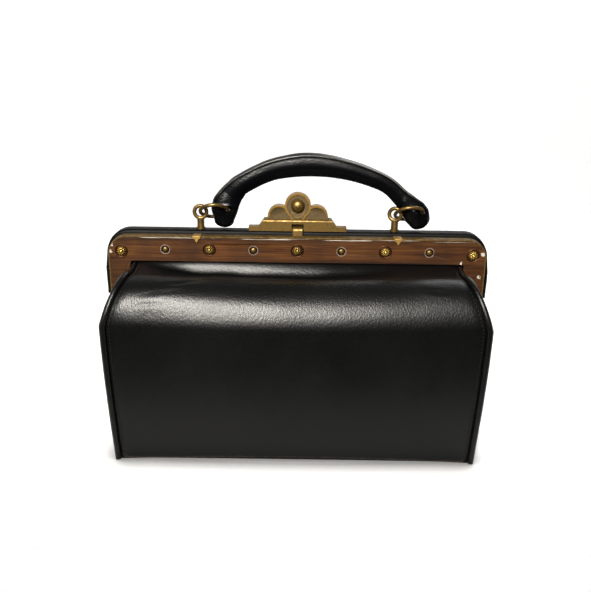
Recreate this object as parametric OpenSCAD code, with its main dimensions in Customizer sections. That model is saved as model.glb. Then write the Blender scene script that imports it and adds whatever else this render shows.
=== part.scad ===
// Doctor's bag: leather body on a hinged two-part frame, with a brass lock
// and a rolled handle on two rings. Millimetres, +Z up, the front faces -Y,
// the origin is at the middle of the base, on the floor.

/* [Frame] */
// Width of the front frame without its edging
frame_w = 325; // [300:1:360]
// Height of the front frame's top edge above the floor
frame_top = 182; // [172:1:200]
// Height of the bar across the top of the frame
bar_h = 22; // [18:0.5:26]
// Width of the frame's legs
leg_w = 13; // [11:0.5:16]
// Outer corner radius of the front frame
corner_r = 15.5; // [13:0.5:20]
// Inner corner radius of both frames
inner_r = 8; // [5:0.5:12]
// Thickness of the front frame's metal bar
front_core_t = 5.7; // [4.5:0.1:8]
// Thickness of the wood-grain plate on the front frame
plate_t = 3.4; // [2.6:0.1:5]
// Thickness of the brass edging round the front frame
edge_t = 1.2; // [0.8:0.1:2]
// Thickness of the rear frame's metal bar
rear_core_t = 10; // [8:0.5:14]
// Thickness of the leather on the rear frame
cover_t = 2.4; // [1.6:0.1:3]
// How far the rear bar reaches past the front bar at the top and the sides
rear_over = 2; // [1:0.1:3]
// Gap between the two frames when they are shut
shut_gap = 1.8; // [1:0.1:3]

/* [Hinge] */
// Depth of the hinge pins below the front frame's top edge
pin_drop = 64; // [58:0.5:70]
// Diameter of the hinge pins
pin_d = 4; // [3:0.1:5]
// Diameter of the hinge ears
ear_d = 12; // [10:0.5:14]
// Thickness of each hinge ear
ear_t = 3; // [2:0.1:3.6]
// Side gap between the two ears of a hinge
ear_gap = 1; // [0.6:0.1:1.5]
// Radial running clearance of the hinge pins
pin_play = 0.05; // [0.02:0.01:0.1]
// Radial clearance of shanks, pins and cups in their seats
fit_play = 0.05; // [0.02:0.01:0.1]

/* [Leather body] */
// Distance of the welts from the frame's side at the fullest height
body_in = 7; // [3:0.5:14]
// Distance of the welts from the frame's side at the base
base_in = 9.5; // [5:0.5:17]
// Distance of the welts from the frame's side on top of the shoulders
shoulder_in = 22; // [16:0.5:26]
// Distance of the welts from the frame's side where they go under the frame
throat_in = 24.5; // [20:0.5:28]
// Depth of the body at its fullest height
body_d = 150; // [136:1:170]
// Depth of the body at the base
base_d = 147; // [130:1:160]
// Depth between the tops of the two shoulders
shoulder_d = 88; // [76:1:100]
// Depth between the two edges that go under the frame
throat_d = 16; // [14:0.5:20]
// Height at which the body is fullest
crest_h = 122; // [110:1:130]
// Drop of the shoulder's top below the frame bar
shoulder_drop = 3; // [1.5:0.5:8]
// Dip of the leather between the shoulder and the frame
valley = 2; // [0:0.5:5]
// How far the panels bow out between their side edges
bow = 2; // [1:0.5:6]
// How far the side folds sag between the welts
fold_dip = 5; // [4:0.5:10]
// Thickness of the leather
leather_t = 2.2; // [1.6:0.1:3]
// Diameter of the piped welts
welt_d = 5.2; // [4:0.2:7]
// Open seam between leather pieces that lie side by side
seam_gap = 0.3; // [0.2:0.05:0.5]
// Thickness of the leather base
base_t = 3; // [2:0.1:5]
// Thickness of the board that stiffens the base
board_t = 4; // [2:0.5:6]
// Corner radius of the base
base_r = 5; // [4:0.5:12]

/* [Studs] */
// Diameter of the petalled studs
stud_d = 8.2; // [7:0.1:10]
// Diameter of the cups that the studs sit in
cup_d = 11.6; // [10:0.1:14]
// Height of the studs' domes
stud_rise = 2.6; // [1.6:0.1:4]
// Distance of the corner studs from the frame's side
corner_stud_in = 10.5; // [9.5:0.1:14]
// How much lower the two corner studs sit
corner_stud_drop = 2; // [0:0.1:4]
// Diameter of the small rivets between the studs
rivet_d = 4.6; // [3.6:0.1:6]
// Diameter of the small rivets' cups
rivet_cup_d = 7; // [6:0.1:9]
// Depth of all the cups
cup_t = 1.4; // [1:0.1:2]
// Diameter of the shanks of studs and rivets
shank_d = 2.6; // [2:0.1:3.2]

/* [Lock] */
// Length of the lock plate over its feet
lock_w = 85; // [78:0.5:100]
// Height of the lock's lower band
band_h = 10.4; // [9:0.1:13]
// Width of the lower band along its top
band_top_w = 59; // [54:0.5:64]
// Width of the lower band where it meets the feet
band_low_w = 68; // [66:0.5:72]
// Height of the feet
foot_h = 4; // [3:0.1:6]
// Radius of the lock's round head
head_r = 11.3; // [10:0.1:13]
// Height of the head's centre above the lock's base
head_rise = 21.6; // [20:0.1:24]
// Radius of the side lobes
lobe_r = 10; // [9:0.1:11]
// Distance between the centres of the side lobes
lobe_span = 32.4; // [30:0.1:36]
// Width of the raised rim round the head and the lobes
rim_w = 1.7; // [1:0.1:2.4]
// Height of the raised rim
rim_rise = 1; // [0.6:0.1:1.6]
// Thickness of the lock's sheet metal
lock_wall = 1.6; // [1.2:0.1:2.4]
// Depth of the lock case behind its face
lock_case_d = 6; // [5.2:0.1:7]
// How far the lower band stands out in front of the face
band_step = 2.2; // [1.5:0.1:3]
// Diameter of the knob
knob_d = 12; // [10:0.1:12.6]
// Width of the recess that the knob slides in
recess_w = 13; // [12.8:0.1:14]
// Depth of the recess
recess_t = 0.6; // [0.4:0.1:0.9]
// How far the knob slides down
knob_travel = 3.6; // [2.5:0.1:4]
// How far the knob stands out of the face
knob_rise = 5; // [4:0.1:7]
// Width of the hasp
hasp_w = 8.7; // [7.5:0.1:9.5]
// Thickness of the hasp
hasp_t = 1.6; // [1.2:0.1:2]
// Height of the hasp's curl above the front frame's top edge
hasp_rise = 7; // [6:0.1:7.4]
// Clearance beside the hasp in its slot
slot_gap = 0.9; // [0.6:0.1:1.4]
// Height of the slot above the hasp's curl
slot_head = 2.6; // [1.5:0.1:3.4]
// Wire diameter of the catch spring
spring_wire = 0.7; // [0.5:0.1:0.9]
// Number of turns of the catch spring
spring_turns = 6; // [4:1:8]

/* [Claws] */
// Width of the claws
claw_w = 7; // [5:0.5:9]
// Thickness of the claws
claw_t = 1.2; // [0.8:0.1:1.6]
// Length of a claw's point down the front of the plate
claw_len = 4.4; // [3:0.1:6]

/* [Handle] */
// Distance between the two eye posts
post_span = 170; // [160:1:180]
// Height of the eyes' centres above the rear frame
eye_rise = 14.6; // [14:0.1:16]
// Diameter of the hole in the eyes
eye_hole = 7.2; // [7:0.1:8]
// Wire diameter of the eyes
eye_wire = 3.4; // [3:0.1:3.5]
// Turn of the right eye about its post
right_eye_turn = -22; // [-24:1:0]
// Diameter of the posts' necks
neck_d = 6.2; // [5:0.1:7]
// Length of the posts' shanks in the rear frame
post_shank = 10; // [6:0.5:14]
// Diameter of the posts' shanks
post_shank_d = 4; // [3:0.1:5]
// Mean diameter of the rings
ring_d = 24; // [23.6:0.1:26]
// Wire diameter of the rings
ring_wire = 3.2; // [2.8:0.1:3.4]
// Lean of the rings about their own long axis
ring_lean = 35; // [25:1:36]
// Gap between the handle's ends and the rear frame they rest on
rest_gap = 0.3; // [0.2:0.05:0.6]
// Rise of the handle's middle above its ring holes
handle_rise = 40; // [34:0.5:50]
// Thickness of the handle at its middle
handle_t = 19.6; // [16:0.2:21]
// Depth of the handle from front to back
handle_d = 19; // [16:0.2:22]
// Length of the handle's ends below the ring holes
lobe_drop = 16.2; // [15:0.1:16.4]
// Thickness of the handle's ends at the ring holes
lobe_t = 11; // [9:0.2:12]
// Radius of the ring holes at their waist
hole_r = 4.6; // [4.4:0.1:5.2]

/* [Hidden] */
$fn = 48;

leather_black = "#1b1c1d";
worn_brass = "#8a6d30";
steel_grey = "#77787a";
plate_brown = "#5c3a20";
cup_dark = "#3a2413";
board_tan = "#7a6244";

// How far a cut runs past a face
cut = 1;
// How far a piece runs into the one that it is made in one with
lap = 1;

// Frame levels and depths
bar_bottom = frame_top - bar_h;
core_top = frame_top - edge_t;
front_back_y = -shut_gap / 2;
core_front_y = front_back_y - front_core_t;
plate_front_y = core_front_y - plate_t;
rear_front_y = shut_gap / 2;
rear_core_y = rear_front_y + cover_t;
rear_back_y = rear_core_y + rear_core_t + cover_t;
rear_core_w = frame_w + 2 * rear_over;
rear_core_top = core_top + rear_over;
rear_top = rear_core_top + cover_t;
leg_in = frame_w / 2 - leg_w;

// Hinge: the ears stand side by side across the parting plane
pin_z = frame_top - pin_drop;
ear_shank = 2;
ear_inset = 1.8;
pin_head_t = 1.2;
pin_head_over = 1.5;
pin_end_play = 0.3;
leg_end = pin_z + ear_d / 2 + ear_shank;
ear_front_x = leg_in + ear_inset;
ear_rear_x = ear_front_x + ear_t + ear_gap;
pin_head_d = pin_d + 2 * pin_head_over;

// Leather body
leg_clear = 0.5;
body_w = frame_w - 2 * body_in;
base_w = frame_w - 2 * base_in;
shoulder_w = frame_w - 2 * shoulder_in;
throat_w = frame_w - 2 * throat_in;
wall_z0 = base_t + seam_gap;
throat_h = bar_bottom - seam_gap;
shoulder_h = bar_bottom - shoulder_drop;
welt_r = welt_d / 2;
edge_in = welt_r + seam_gap;
gusset_in = leg_in - cover_t - 2 * seam_gap - leg_clear;
fold_t = 1;
fold_top_t = 2;
throat_t = 3;
wall_steps = 10;
fold_steps = 12;
side_fold_steps = 6;
across_steps = 16;
gusset_steps = 12;

// Lock levels: its base is on the rear frame
lock_z = rear_top;
lock_face_y = rear_front_y + band_step;
lock_back_y = lock_face_y + lock_case_d;
head_z = lock_z + head_rise;
lobe_rise = 2;
lobe_z = lock_z + band_h + lobe_rise;
collar_foot_w = 10.4;
collar_turn = 30;
hasp_top = frame_top + hasp_rise;
tip_gap = 0.6;
hasp_tip_y = lock_back_y - tip_gap;
slot_top = hasp_top + slot_head;
stem_d = 5;
stem_play = 0.3;
slide_t = 1.5;
slide_play = 0.3;
slide_rail = 2.5;
slide_bar = 1.6;
slide_neck_wall = 1;
catch_gap = 0.5;
mortise_play = 0.5;
slide_y = lock_face_y + lock_wall + slide_play;
slide_w = hasp_w + 2 * (slot_gap + slide_rail);
window_top = slot_top + knob_travel;
slide_neck_w = stem_d + 2 * slide_neck_wall;
slide_bottom = hasp_top - hasp_t - catch_gap - slide_bar;
lug_reach = 3.4;
lug_drop = 1;
lug_x = slide_w / 2 + lug_reach;
lug_z = lock_z + band_h - lug_drop;
spring_d = 3;
spring_gap = 0.1;

// Handle and rings
post_y = (rear_front_y + rear_back_y) / 2;
eye_z = rear_top + eye_rise;
eye_r = (eye_hole + eye_wire) / 2;
pivot_z = rear_top + rest_gap + lobe_drop;
ring_angle = asin((pivot_z - eye_z) / ring_d);
pivot_dx = ring_d * cos(ring_angle);
handle_left = -post_span / 2 + pivot_dx;

// Helpers

function unit(v) = v / norm(v);
function mix(a, b, k) = a + (b - a) * k;

// One smooth curve through a list of knots, as a list of points
function spline(k, steps) = [
    for (i = [0 : len(k) - 2], s = [0 : steps - 1])
        let (p0 = k[max(i - 1, 0)], p1 = k[i], p2 = k[i + 1], p3 = k[min(i + 2, len(k) - 1)], u = s / steps)
            0.5 * (2 * p1 + (p2 - p0) * u + (2 * p0 - 5 * p1 + 4 * p2 - p3) * u * u
                + (3 * p1 - p0 - 3 * p2 + p3) * u * u * u),
    k[len(k) - 1]
];

// Tangent of a list of points at one of them
function tangent(p, i) = unit(p[min(i + 1, len(p) - 1)] - p[max(i - 1, 0)]);

// A closed tube: one ring of points round each point of a path, with two half widths
module tube(path, half_a, half_b, ref, sides) {
    n = len(path);
    rings = [
        for (i = [0 : n - 1])
            let (t = tangent(path, i), a = unit(cross(ref, t)), b = cross(t, a))
                for (s = [0 : sides - 1])
                    path[i] + half_a[i] * cos(360 * s / sides) * a + half_b[i] * sin(360 * s / sides) * b
    ];
    walls = [
        for (i = [0 : n - 2], s = [0 : sides - 1])
            let (p = i * sides + s, q = i * sides + (s + 1) % sides)
                each [[p, p + sides, q], [q, p + sides, q + sides]]
    ];
    first = n * sides;
    caps = [
        for (s = [0 : sides - 1])
            each [[first, s, (s + 1) % sides],
                [first + 1, (n - 1) * sides + (s + 1) % sides, (n - 1) * sides + s]]
    ];
    polyhedron(concat(rings, [path[0], path[n - 1]]), concat(walls, caps));
}

// Normal of a grid of points at one of them
function grid_normal(g, i, j) = unit(cross(
    g[min(i + 1, len(g) - 1)][j] - g[max(i - 1, 0)][j],
    g[i][min(j + 1, len(g[0]) - 1)] - g[i][max(j - 1, 0)]));

// A sheet of even thickness on the side of a grid that its normals point to
module sheet(g, thickness) {
    ni = len(g);
    nj = len(g[0]);
    base = [for (i = [0 : ni - 1], j = [0 : nj - 1]) g[i][j]];
    far = [for (i = [0 : ni - 1], j = [0 : nj - 1]) g[i][j] + thickness * grid_normal(g, i, j)];
    off = ni * nj;
    skins = [
        for (i = [0 : ni - 2], j = [0 : nj - 2])
            let (a = i * nj + j, b = a + nj)
                each [[a, b, b + 1], [a, b + 1, a + 1],
                    [off + a, off + b + 1, off + b], [off + a, off + a + 1, off + b + 1]]
    ];
    long_rims = [
        for (i = [0 : ni - 2], j = [0, nj - 1])
            let (a = i * nj + j, b = a + nj, flip = j == 0)
                each flip
                    ? [[a, off + a, b], [b, off + a, off + b]]
                    : [[a, b, off + a], [b, off + b, off + a]]
    ];
    short_rims = [
        for (i = [0, ni - 1], j = [0 : nj - 2])
            let (a = i * nj + j, b = a + 1, flip = i == 0)
                each flip
                    ? [[a, b, off + a], [b, off + b, off + a]]
                    : [[a, off + a, b], [b, off + a, off + b]]
    ];
    polyhedron(concat(base, far), concat(skins, long_rims, short_rims));
}

// Leather profile: t runs 0 to 1 up the wall, to 2 over the shoulder, to 3 at the frame

function smooth(k) = k * k * (3 - 2 * k);
function profile_d(t) =
    t <= 1 ? mix(base_d, body_d, sin(90 * t)) / 2
    : t <= 2 ? mix(shoulder_d, body_d, cos(90 * (t - 1))) / 2
    : mix(shoulder_d, throat_d, t - 2) / 2;
function profile_z(t) =
    t <= 1 ? mix(wall_z0, crest_h, t)
    : t <= 2 ? mix(crest_h, shoulder_h, sin(90 * (t - 1)))
    : mix(shoulder_h, throat_h, smooth(t - 2)) - valley * sin(180 * (t - 2));
function profile_w(t) =
    t <= 1 ? mix(base_w, body_w, sin(90 * t)) / 2
    : t <= 2 ? mix(shoulder_w, body_w, cos(90 * (t - 1))) / 2
    : mix(shoulder_w, throat_w, t - 2) / 2;
function bow_at(t) = bow * (t <= 1 ? 1 : (throat_t - t) / (throat_t - 1));

// Points of the front panel's outer face, of the front left welt and of the left gusset's outer face
function panel_point(u, t) = [
    u * (profile_w(t) - edge_in),
    -(profile_d(t) - bow_at(t) * u * u),
    profile_z(t)
];
function welt_point(t) = [
    -profile_w(t),
    -(profile_d(t) - bow_at(t)),
    profile_z(t) - (t > 2 ? t - 2 : 0) * edge_in
];
function welt_run(t) = unit(welt_point(min(t + 0.01, throat_t)) - welt_point(max(t - 0.01, 0)));
function gusset_edge(t) =
    let (run = welt_run(t)) welt_point(t) + edge_in * unit([0, run[2], -run[1]]);
function gusset_point(s, t) =
    let (
        e = gusset_edge(t),
        pinch = max(0, -e[0] - gusset_in) * sin(90 * min(t, 1)),
        dip = t > fold_t ? fold_dip * (t - fold_t) / (fold_top_t - fold_t) : 0,
        inward = 1 - pow(s, 4)
    )
        [e[0] + pinch * inward, -s * e[1], e[2] - dip * inward];
function steps_between(a, b, n) = [for (i = [0 : n]) mix(a, b, i / n)];

module front_leather(t0, t1, steps) {
    sheet([
        for (t = steps_between(t0, t1, steps))
            [for (u = steps_between(-1, 1, across_steps)) panel_point(u, t)]
    ], leather_t);
}
module left_side_leather(t0, t1, steps) {
    sheet([
        for (t = steps_between(t0, t1, steps))
            [for (s = steps_between(1, -1, gusset_steps)) gusset_point(s, t)]
    ], leather_t);
}
module left_front_welt(t0, t1, steps) {
    path = [for (t = steps_between(t0, t1, steps)) welt_point(t)];
    radii = [for (p = path) welt_r];
    tube(path, radii, radii, [1, 0, 0], 10);
}
module both_sides() {
    children();
    mirror([1, 0, 0]) children();
}

// How far along the profile a seam is left open at the fold line
fold_gap = seam_gap / (shoulder_h - crest_h);

// Leather body

module base_panel() {
    color(leather_black) rounded_slab(base_w + welt_d, base_d, base_r, 0, base_t);
}
module base_board() {
    clear = leather_t + 2 * seam_gap + bow;
    color(board_tan)
        rounded_slab(base_w - 2 * clear - welt_d, base_d - 2 * clear, base_r, base_t, board_t);
}
module front_panel() {
    color(leather_black) front_leather(0, fold_t, wall_steps);
}
module front_shoulder() {
    color(leather_black) front_leather(fold_t + fold_gap, throat_t, fold_steps);
}
module rear_panel() {
    color(leather_black) mirror([0, 1, 0]) front_leather(0, throat_t, wall_steps + fold_steps);
}
module left_gusset() {
    color(leather_black) left_side_leather(0, fold_t, wall_steps);
}
module right_gusset() {
    color(leather_black) mirror([1, 0, 0]) left_side_leather(0, fold_t, wall_steps);
}
module left_gusset_fold() {
    color(leather_black) left_side_leather(fold_t + fold_gap, fold_top_t, side_fold_steps);
}
module right_gusset_fold() {
    color(leather_black) mirror([1, 0, 0]) left_side_leather(fold_t + fold_gap, fold_top_t, side_fold_steps);
}
module body_welts() {
    color(leather_black) both_sides() {
        left_front_welt(0, fold_t, wall_steps);
        mirror([0, 1, 0]) left_front_welt(0, throat_t, wall_steps + fold_steps);
    }
}
module shoulder_welts() {
    color(leather_black) both_sides() left_front_welt(fold_t + fold_gap, throat_t, fold_steps);
}

// A flat slab with round corners, from z0 up
module rounded_slab(w, d, r, z0, h) {
    translate([0, 0, z0]) linear_extrude(h) {
        square([w - 2 * r, d], center = true);
        square([w, d - 2 * r], center = true);
        for (x = [-1, 1], y = [-1, 1]) translate([x * (w / 2 - r), y * (d / 2 - r)]) circle(r);
    }
}

// Frames

// A flat arch with round top corners, drawn in the frame's own plane
module arch_2d(w, z0, z1, r) {
    translate([-w / 2, z0]) square([w, z1 - r - z0]);
    translate([-w / 2 + r, z0]) square([w - 2 * r, z1 - z0]);
    for (x = [-1, 1]) translate([x * (w / 2 - r), z1 - r]) circle(r);
}
// An inverted U in the frame's own plane
module frame_2d(w, z0, z1, r, inside_w, inside_top, inside_r) {
    difference() {
        arch_2d(w, z0, z1, r);
        arch_2d(inside_w, z0 - cut, inside_top, inside_r);
    }
}
// Stands a shape drawn in the frame's plane between two depths
module upright(y0, y1) {
    translate([0, y1, 0]) rotate([90, 0, 0]) linear_extrude(y1 - y0) children();
}
// A round rod or bore along Y
module rod_y(x, z, d, y0, y1) {
    translate([x, y1, z]) rotate([90, 0, 0]) cylinder(d = d, h = y1 - y0);
}
// A round rod or bore along X
module rod_x(z, d, x0, x1) {
    translate([x0, 0, z]) rotate([0, 90, 0]) cylinder(d = d, h = x1 - x0);
}
// A hinge ear on the right: its shank hangs from a leg, its eye is round the pin
module ear(x0, leg_y0, leg_y1, bore) {
    difference() {
        union() {
            rod_x(pin_z, ear_d, x0, x0 + ear_t);
            translate([x0, leg_y0, pin_z]) cube([ear_t, leg_y1 - leg_y0, leg_end - pin_z]);
        }
        rod_x(pin_z, bore, x0 - cut, x0 + ear_t + cut);
    }
}

stud_z = (bar_bottom + core_top) / 2;
stud_pitch = (frame_w / 2 - corner_stud_in) / 2;
function stud_places() = [
    for (i = [-2 : 2]) [i * stud_pitch, stud_z - (abs(i) == 2 ? corner_stud_drop : 0)]
];
function rivet_places() = [for (i = [-1.5 : 1 : 1.5]) [i * stud_pitch, stud_z]];

module front_frame_shape(grow) {
    frame_2d(frame_w + 2 * grow, leg_end, core_top + grow, corner_r + grow,
        2 * leg_in, bar_bottom, inner_r);
}
module front_frame() {
    color(steel_grey) {
        difference() {
            upright(core_front_y, front_back_y) front_frame_shape(0);
            for (p = concat(stud_places(), rivet_places()))
                rod_y(p[0], p[1], shank_d + 2 * fit_play, core_front_y - cut, front_back_y + cut);
            hasp_seat();
        }
        both_sides() ear(ear_front_x, core_front_y, front_back_y, pin_d + 2 * pin_play);
    }
}
module front_plate() {
    color(plate_brown) difference() {
        upright(plate_front_y, core_front_y) front_frame_shape(0);
        for (p = stud_places()) cup_bore(p, cup_d);
        for (p = rivet_places()) cup_bore(p, rivet_cup_d);
    }
}
// The stepped bore that a cup and a shank sit in
module cup_bore(p, d) {
    rod_y(p[0], p[1], d + 2 * fit_play, plate_front_y - cut, plate_front_y + cup_t);
    rod_y(p[0], p[1], shank_d + 2 * fit_play, plate_front_y, core_front_y + cut);
}
module edge_trim() {
    color(worn_brass) difference() {
        upright(plate_front_y, front_back_y) difference() {
            front_frame_shape(edge_t);
            arch_2d(frame_w, leg_end - cut, core_top, corner_r);
        }
        hasp_seat();
        claw_seats();
    }
}
module rear_frame_shape(grow) {
    frame_2d(rear_core_w + 2 * grow, leg_end, rear_core_top + grow, corner_r + rear_over + grow,
        2 * (leg_in - grow), bar_bottom + cover_t - grow, inner_r);
}
module rear_frame() {
    color(steel_grey) {
        difference() {
            upright(rear_core_y, rear_back_y - cover_t) rear_frame_shape(0);
            frame_bores();
        }
        both_sides() ear(ear_rear_x, rear_core_y, rear_back_y - cover_t, pin_d);
    }
}
module rear_frame_cover() {
    color(leather_black) difference() {
        upright(rear_front_y, rear_back_y) rear_frame_shape(cover_t);
        upright(rear_core_y, rear_back_y - cover_t) difference() {
            rear_frame_shape(0);
            translate([-frame_w, leg_end - cut]) square([2 * frame_w, cut]);
        }
        translate([0, 0, leg_end]) mirror([0, 0, 1]) upright(rear_core_y, rear_back_y - cover_t)
            translate([-frame_w, 0]) square([2 * frame_w, cut]);
        frame_bores();
    }
}
// Bores for the posts' shanks and the lock's pins, and the mortise of the catch
module frame_bores() {
    for (x = [-1, 1]) {
        translate([x * post_span / 2, post_y, rear_top - post_shank])
            cylinder(d = post_shank_d + 2 * fit_play, h = post_shank + cut);
        translate([x * foot_x, post_y, rear_top - lock_pin_len])
            cylinder(d = lock_pin_d + 2 * fit_play, h = lock_pin_len + cut);
    }
    translate([-slide_w / 2 - mortise_play, slide_y - slide_play, slide_bottom - knob_travel - mortise_play])
        cube([slide_w + 2 * mortise_play, slide_t + 2 * slide_play, rear_top]);
}
module hinge_pins() {
    x0 = ear_front_x - pin_end_play;
    x1 = ear_rear_x + ear_t;
    color(steel_grey) both_sides() {
        rod_x(pin_z, pin_d, x0, x1);
        rod_x(pin_z, pin_head_d, x0 - pin_head_t, x0);
        rod_x(pin_z, pin_head_d, x1, x1 + pin_head_t);
    }
}

// Studs and rivets

cup_floor = 0.5;
cup_lip = 0.4;
dome_edge = 0.6;
dome_undercut = 0.5;
flute_d = 1.1;
flute_out = 0.2;
// A shape turned about Y on the front plate: the profile is [radius, height]
module turned(p, points) {
    translate([p[0], plate_front_y + cup_t, p[1]]) rotate([90, 0, 0]) rotate_extrude() polygon(points);
}
module cups(places, d, dome_d) {
    bore = shank_d / 2 + fit_play;
    wall = (d - dome_d) / 2 - 3 * fit_play;
    for (p = places) turned(p, [
        [bore, 0], [d / 2, 0], [d / 2, cup_t], [d / 2 - wall / 3, cup_t + cup_lip],
        [d / 2 - wall * 2 / 3, cup_t], [d / 2 - wall, cup_floor], [bore, cup_floor]
    ]);
}
module domes(places, d, rise) {
    r = d / 2;
    for (p = places) {
        turned(p, concat(
            [[0, cup_floor], [r - dome_undercut, cup_floor]],
            [for (a = [0 : 15 : 90]) [r * cos(a), cup_floor + dome_edge + rise * sin(a)]]));
        rod_y(p[0], p[1], shank_d, plate_front_y + cup_t - cup_floor, front_back_y);
    }
}
module stud_cups() {
    color(cup_dark) cups(stud_places(), cup_d, stud_d);
}
module rivet_cups() {
    color(cup_dark) cups(rivet_places(), rivet_cup_d, rivet_d);
}
module studs() {
    petals = 8;
    color(worn_brass) difference() {
        domes(stud_places(), stud_d, stud_rise);
        for (p = stud_places(), k = [0 : petals - 1])
            translate([p[0], plate_front_y + cup_t - cup_floor - dome_edge, p[1]]) rotate([0, 360 * k / petals, 0])
                translate([stud_d / 2 + flute_out, 0, 0]) rotate([90, 0, 0])
                    cylinder(d = flute_d, h = stud_rise + cut);
    }
}
module rivets() {
    color(worn_brass) domes(rivet_places(), rivet_d, rivet_d / 4);
}

// Lock

foot_x = (lock_w + band_low_w) / 4;
lock_pin_d = 3;
lock_pin_len = 8;
knob_gap = 0.1;
knob_bevel = 0.6;
knob_edge = 1.2;

// Head and lobes, drawn in the lock's own plane
module crown_2d(inset) {
    translate([0, head_z]) circle(head_r - inset);
    for (x = [-1, 1]) translate([x * lobe_span / 2, lobe_z]) circle(lobe_r - inset);
    w = lobe_span + 2 * (lobe_r - inset);
    translate([-w / 2, lock_z + band_h - cut]) square([w, lobe_rise + cut]);
    translate([-lobe_span / 2, lock_z + band_h - cut]) square([lobe_span, 2 * lobe_rise + cut]);
}
// The head with the collar that runs down from it to the band
module collar_2d(inset) {
    r = head_r - inset;
    foot = collar_foot_w / 2 - inset;
    side_x = (r - rim_w / 2) * cos(collar_turn);
    side_z = head_z - (r - rim_w / 2) * sin(collar_turn);
    translate([0, head_z]) circle(r);
    polygon([[-foot, lock_z + band_h - cut], [foot, lock_z + band_h - cut], [side_x, side_z], [-side_x, side_z]]);
}
module obround_2d(w, z_low, z_high) {
    translate([0, z_low]) circle(d = w);
    translate([0, z_high]) circle(d = w);
    translate([-w / 2, z_low]) square([w, z_high - z_low]);
}
// The stepped lower band: sloping ends seen from the front, a round front edge seen from the side
module band() {
    intersection() {
        upright(rear_front_y - cut, lock_back_y + cut) polygon([
            [-band_low_w / 2, lock_z], [band_low_w / 2, lock_z], [band_low_w / 2, lock_z + foot_h],
            [band_top_w / 2, lock_z + band_h], [-band_top_w / 2, lock_z + band_h],
            [-band_low_w / 2, lock_z + foot_h]
        ]);
        translate([-lock_w / 2, 0, lock_z]) rotate([90, 0, 90]) linear_extrude(lock_w) {
            translate([lock_face_y, 0]) square([lock_case_d, band_h]);
            translate([rear_front_y, 0]) square([band_step, band_h - band_step]);
            translate([lock_face_y, band_h - band_step]) circle(band_step);
        }
    }
}
module feet() {
    both_sides() {
        translate([band_low_w / 2 - lap, rear_front_y, lock_z])
            cube([(lock_w - band_low_w) / 2 + lap, lock_back_y - rear_front_y, foot_h]);
        translate([foot_x, post_y, lock_z - lock_pin_len]) cylinder(d = lock_pin_d, h = lock_pin_len + lap);
    }
}
module lock_plate() {
    color(worn_brass) difference() {
        union() {
            upright(lock_face_y, lock_back_y) crown_2d(0);
            upright(lock_face_y - rim_rise, lock_face_y) difference() {
                crown_2d(0);
                crown_2d(rim_w);
                translate([-lock_w / 2, lock_z - cut]) square([lock_w, band_h + cut]);
            }
            upright(lock_face_y - rim_rise, lock_face_y) difference() {
                collar_2d(0);
                collar_2d(rim_w);
            }
            band();
            feet();
        }
        upright(lock_face_y + lock_wall, lock_back_y + cut) {
            crown_2d(lock_wall);
            translate([-band_top_w / 2 + lock_wall, lock_z - cut])
                square([band_top_w - 2 * lock_wall, band_h + cut]);
        }
        upright(lock_face_y - cut, lock_face_y + recess_t)
            obround_2d(recess_w, head_z - knob_travel, head_z);
        upright(lock_face_y - cut, lock_back_y)
            obround_2d(stem_d + 2 * stem_play, head_z - knob_travel, head_z);
        translate([-hasp_w / 2 - slot_gap, rear_front_y - cut, lock_z - cut])
            cube([hasp_w + 2 * slot_gap, lock_case_d, slot_top - lock_z + cut]);
    }
}
module lock_back() {
    color(worn_brass) upright(lock_back_y, lock_back_y + lock_wall) {
        crown_2d(0);
        translate([-band_top_w / 2, lock_z]) square([band_top_w, band_h]);
    }
}
module knob() {
    seat_y = lock_face_y + recess_t - knob_gap;
    color(worn_brass) translate([0, seat_y, head_z]) rotate([90, 0, 0]) rotate_extrude() polygon(concat(
        [[0, 0], [knob_d / 2 - knob_bevel, 0], [knob_d / 2, knob_bevel], [knob_d / 2, knob_edge]],
        [for (a = [0 : 15 : 90]) [knob_d / 2 * cos(a), knob_edge + (knob_rise - knob_edge) * sin(a)]]));
    color(worn_brass) rod_y(0, head_z, stem_d, seat_y, slide_y);
}
// The catch slide: its window passes the hasp, its lug stands on the spring
module catch_slide() {
    window_w = hasp_w + 2 * slot_gap;
    color(steel_grey) difference() {
        upright(slide_y, slide_y + slide_t) {
            translate([-slide_w / 2, slide_bottom]) square([slide_w, window_top + slide_bar - slide_bottom]);
            translate([-slide_neck_w / 2, slide_bottom]) square([slide_neck_w, head_z - slide_bottom]);
            translate([0, lug_z]) square([lug_x + spring_d / 2, window_top + slide_bar - lug_z]);
        }
        upright(slide_y - cut, slide_y + slide_t + cut)
            translate([-window_w / 2, slide_bottom + slide_bar])
                square([window_w, window_top - slide_bottom - slide_bar]);
    }
}
module catch_spring() {
    turn_steps = 14;
    z0 = lock_z + spring_wire / 2;
    z1 = lug_z - spring_wire / 2 - spring_gap;
    r = (spring_d - spring_wire) / 2;
    path = [
        for (i = [0 : spring_turns * turn_steps])
            let (a = 360 * i / turn_steps)
                [lug_x + r * cos(a), slide_y + slide_t + r * sin(a), mix(z0, z1, i / (spring_turns * turn_steps))]
    ];
    radii = [for (p = path) spring_wire / 2];
    color(steel_grey) tube(path, radii, radii, [0, 0, 1], 6);
}
hasp_foot = stud_z + shank_d;
curl_in = 1.6;
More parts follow.
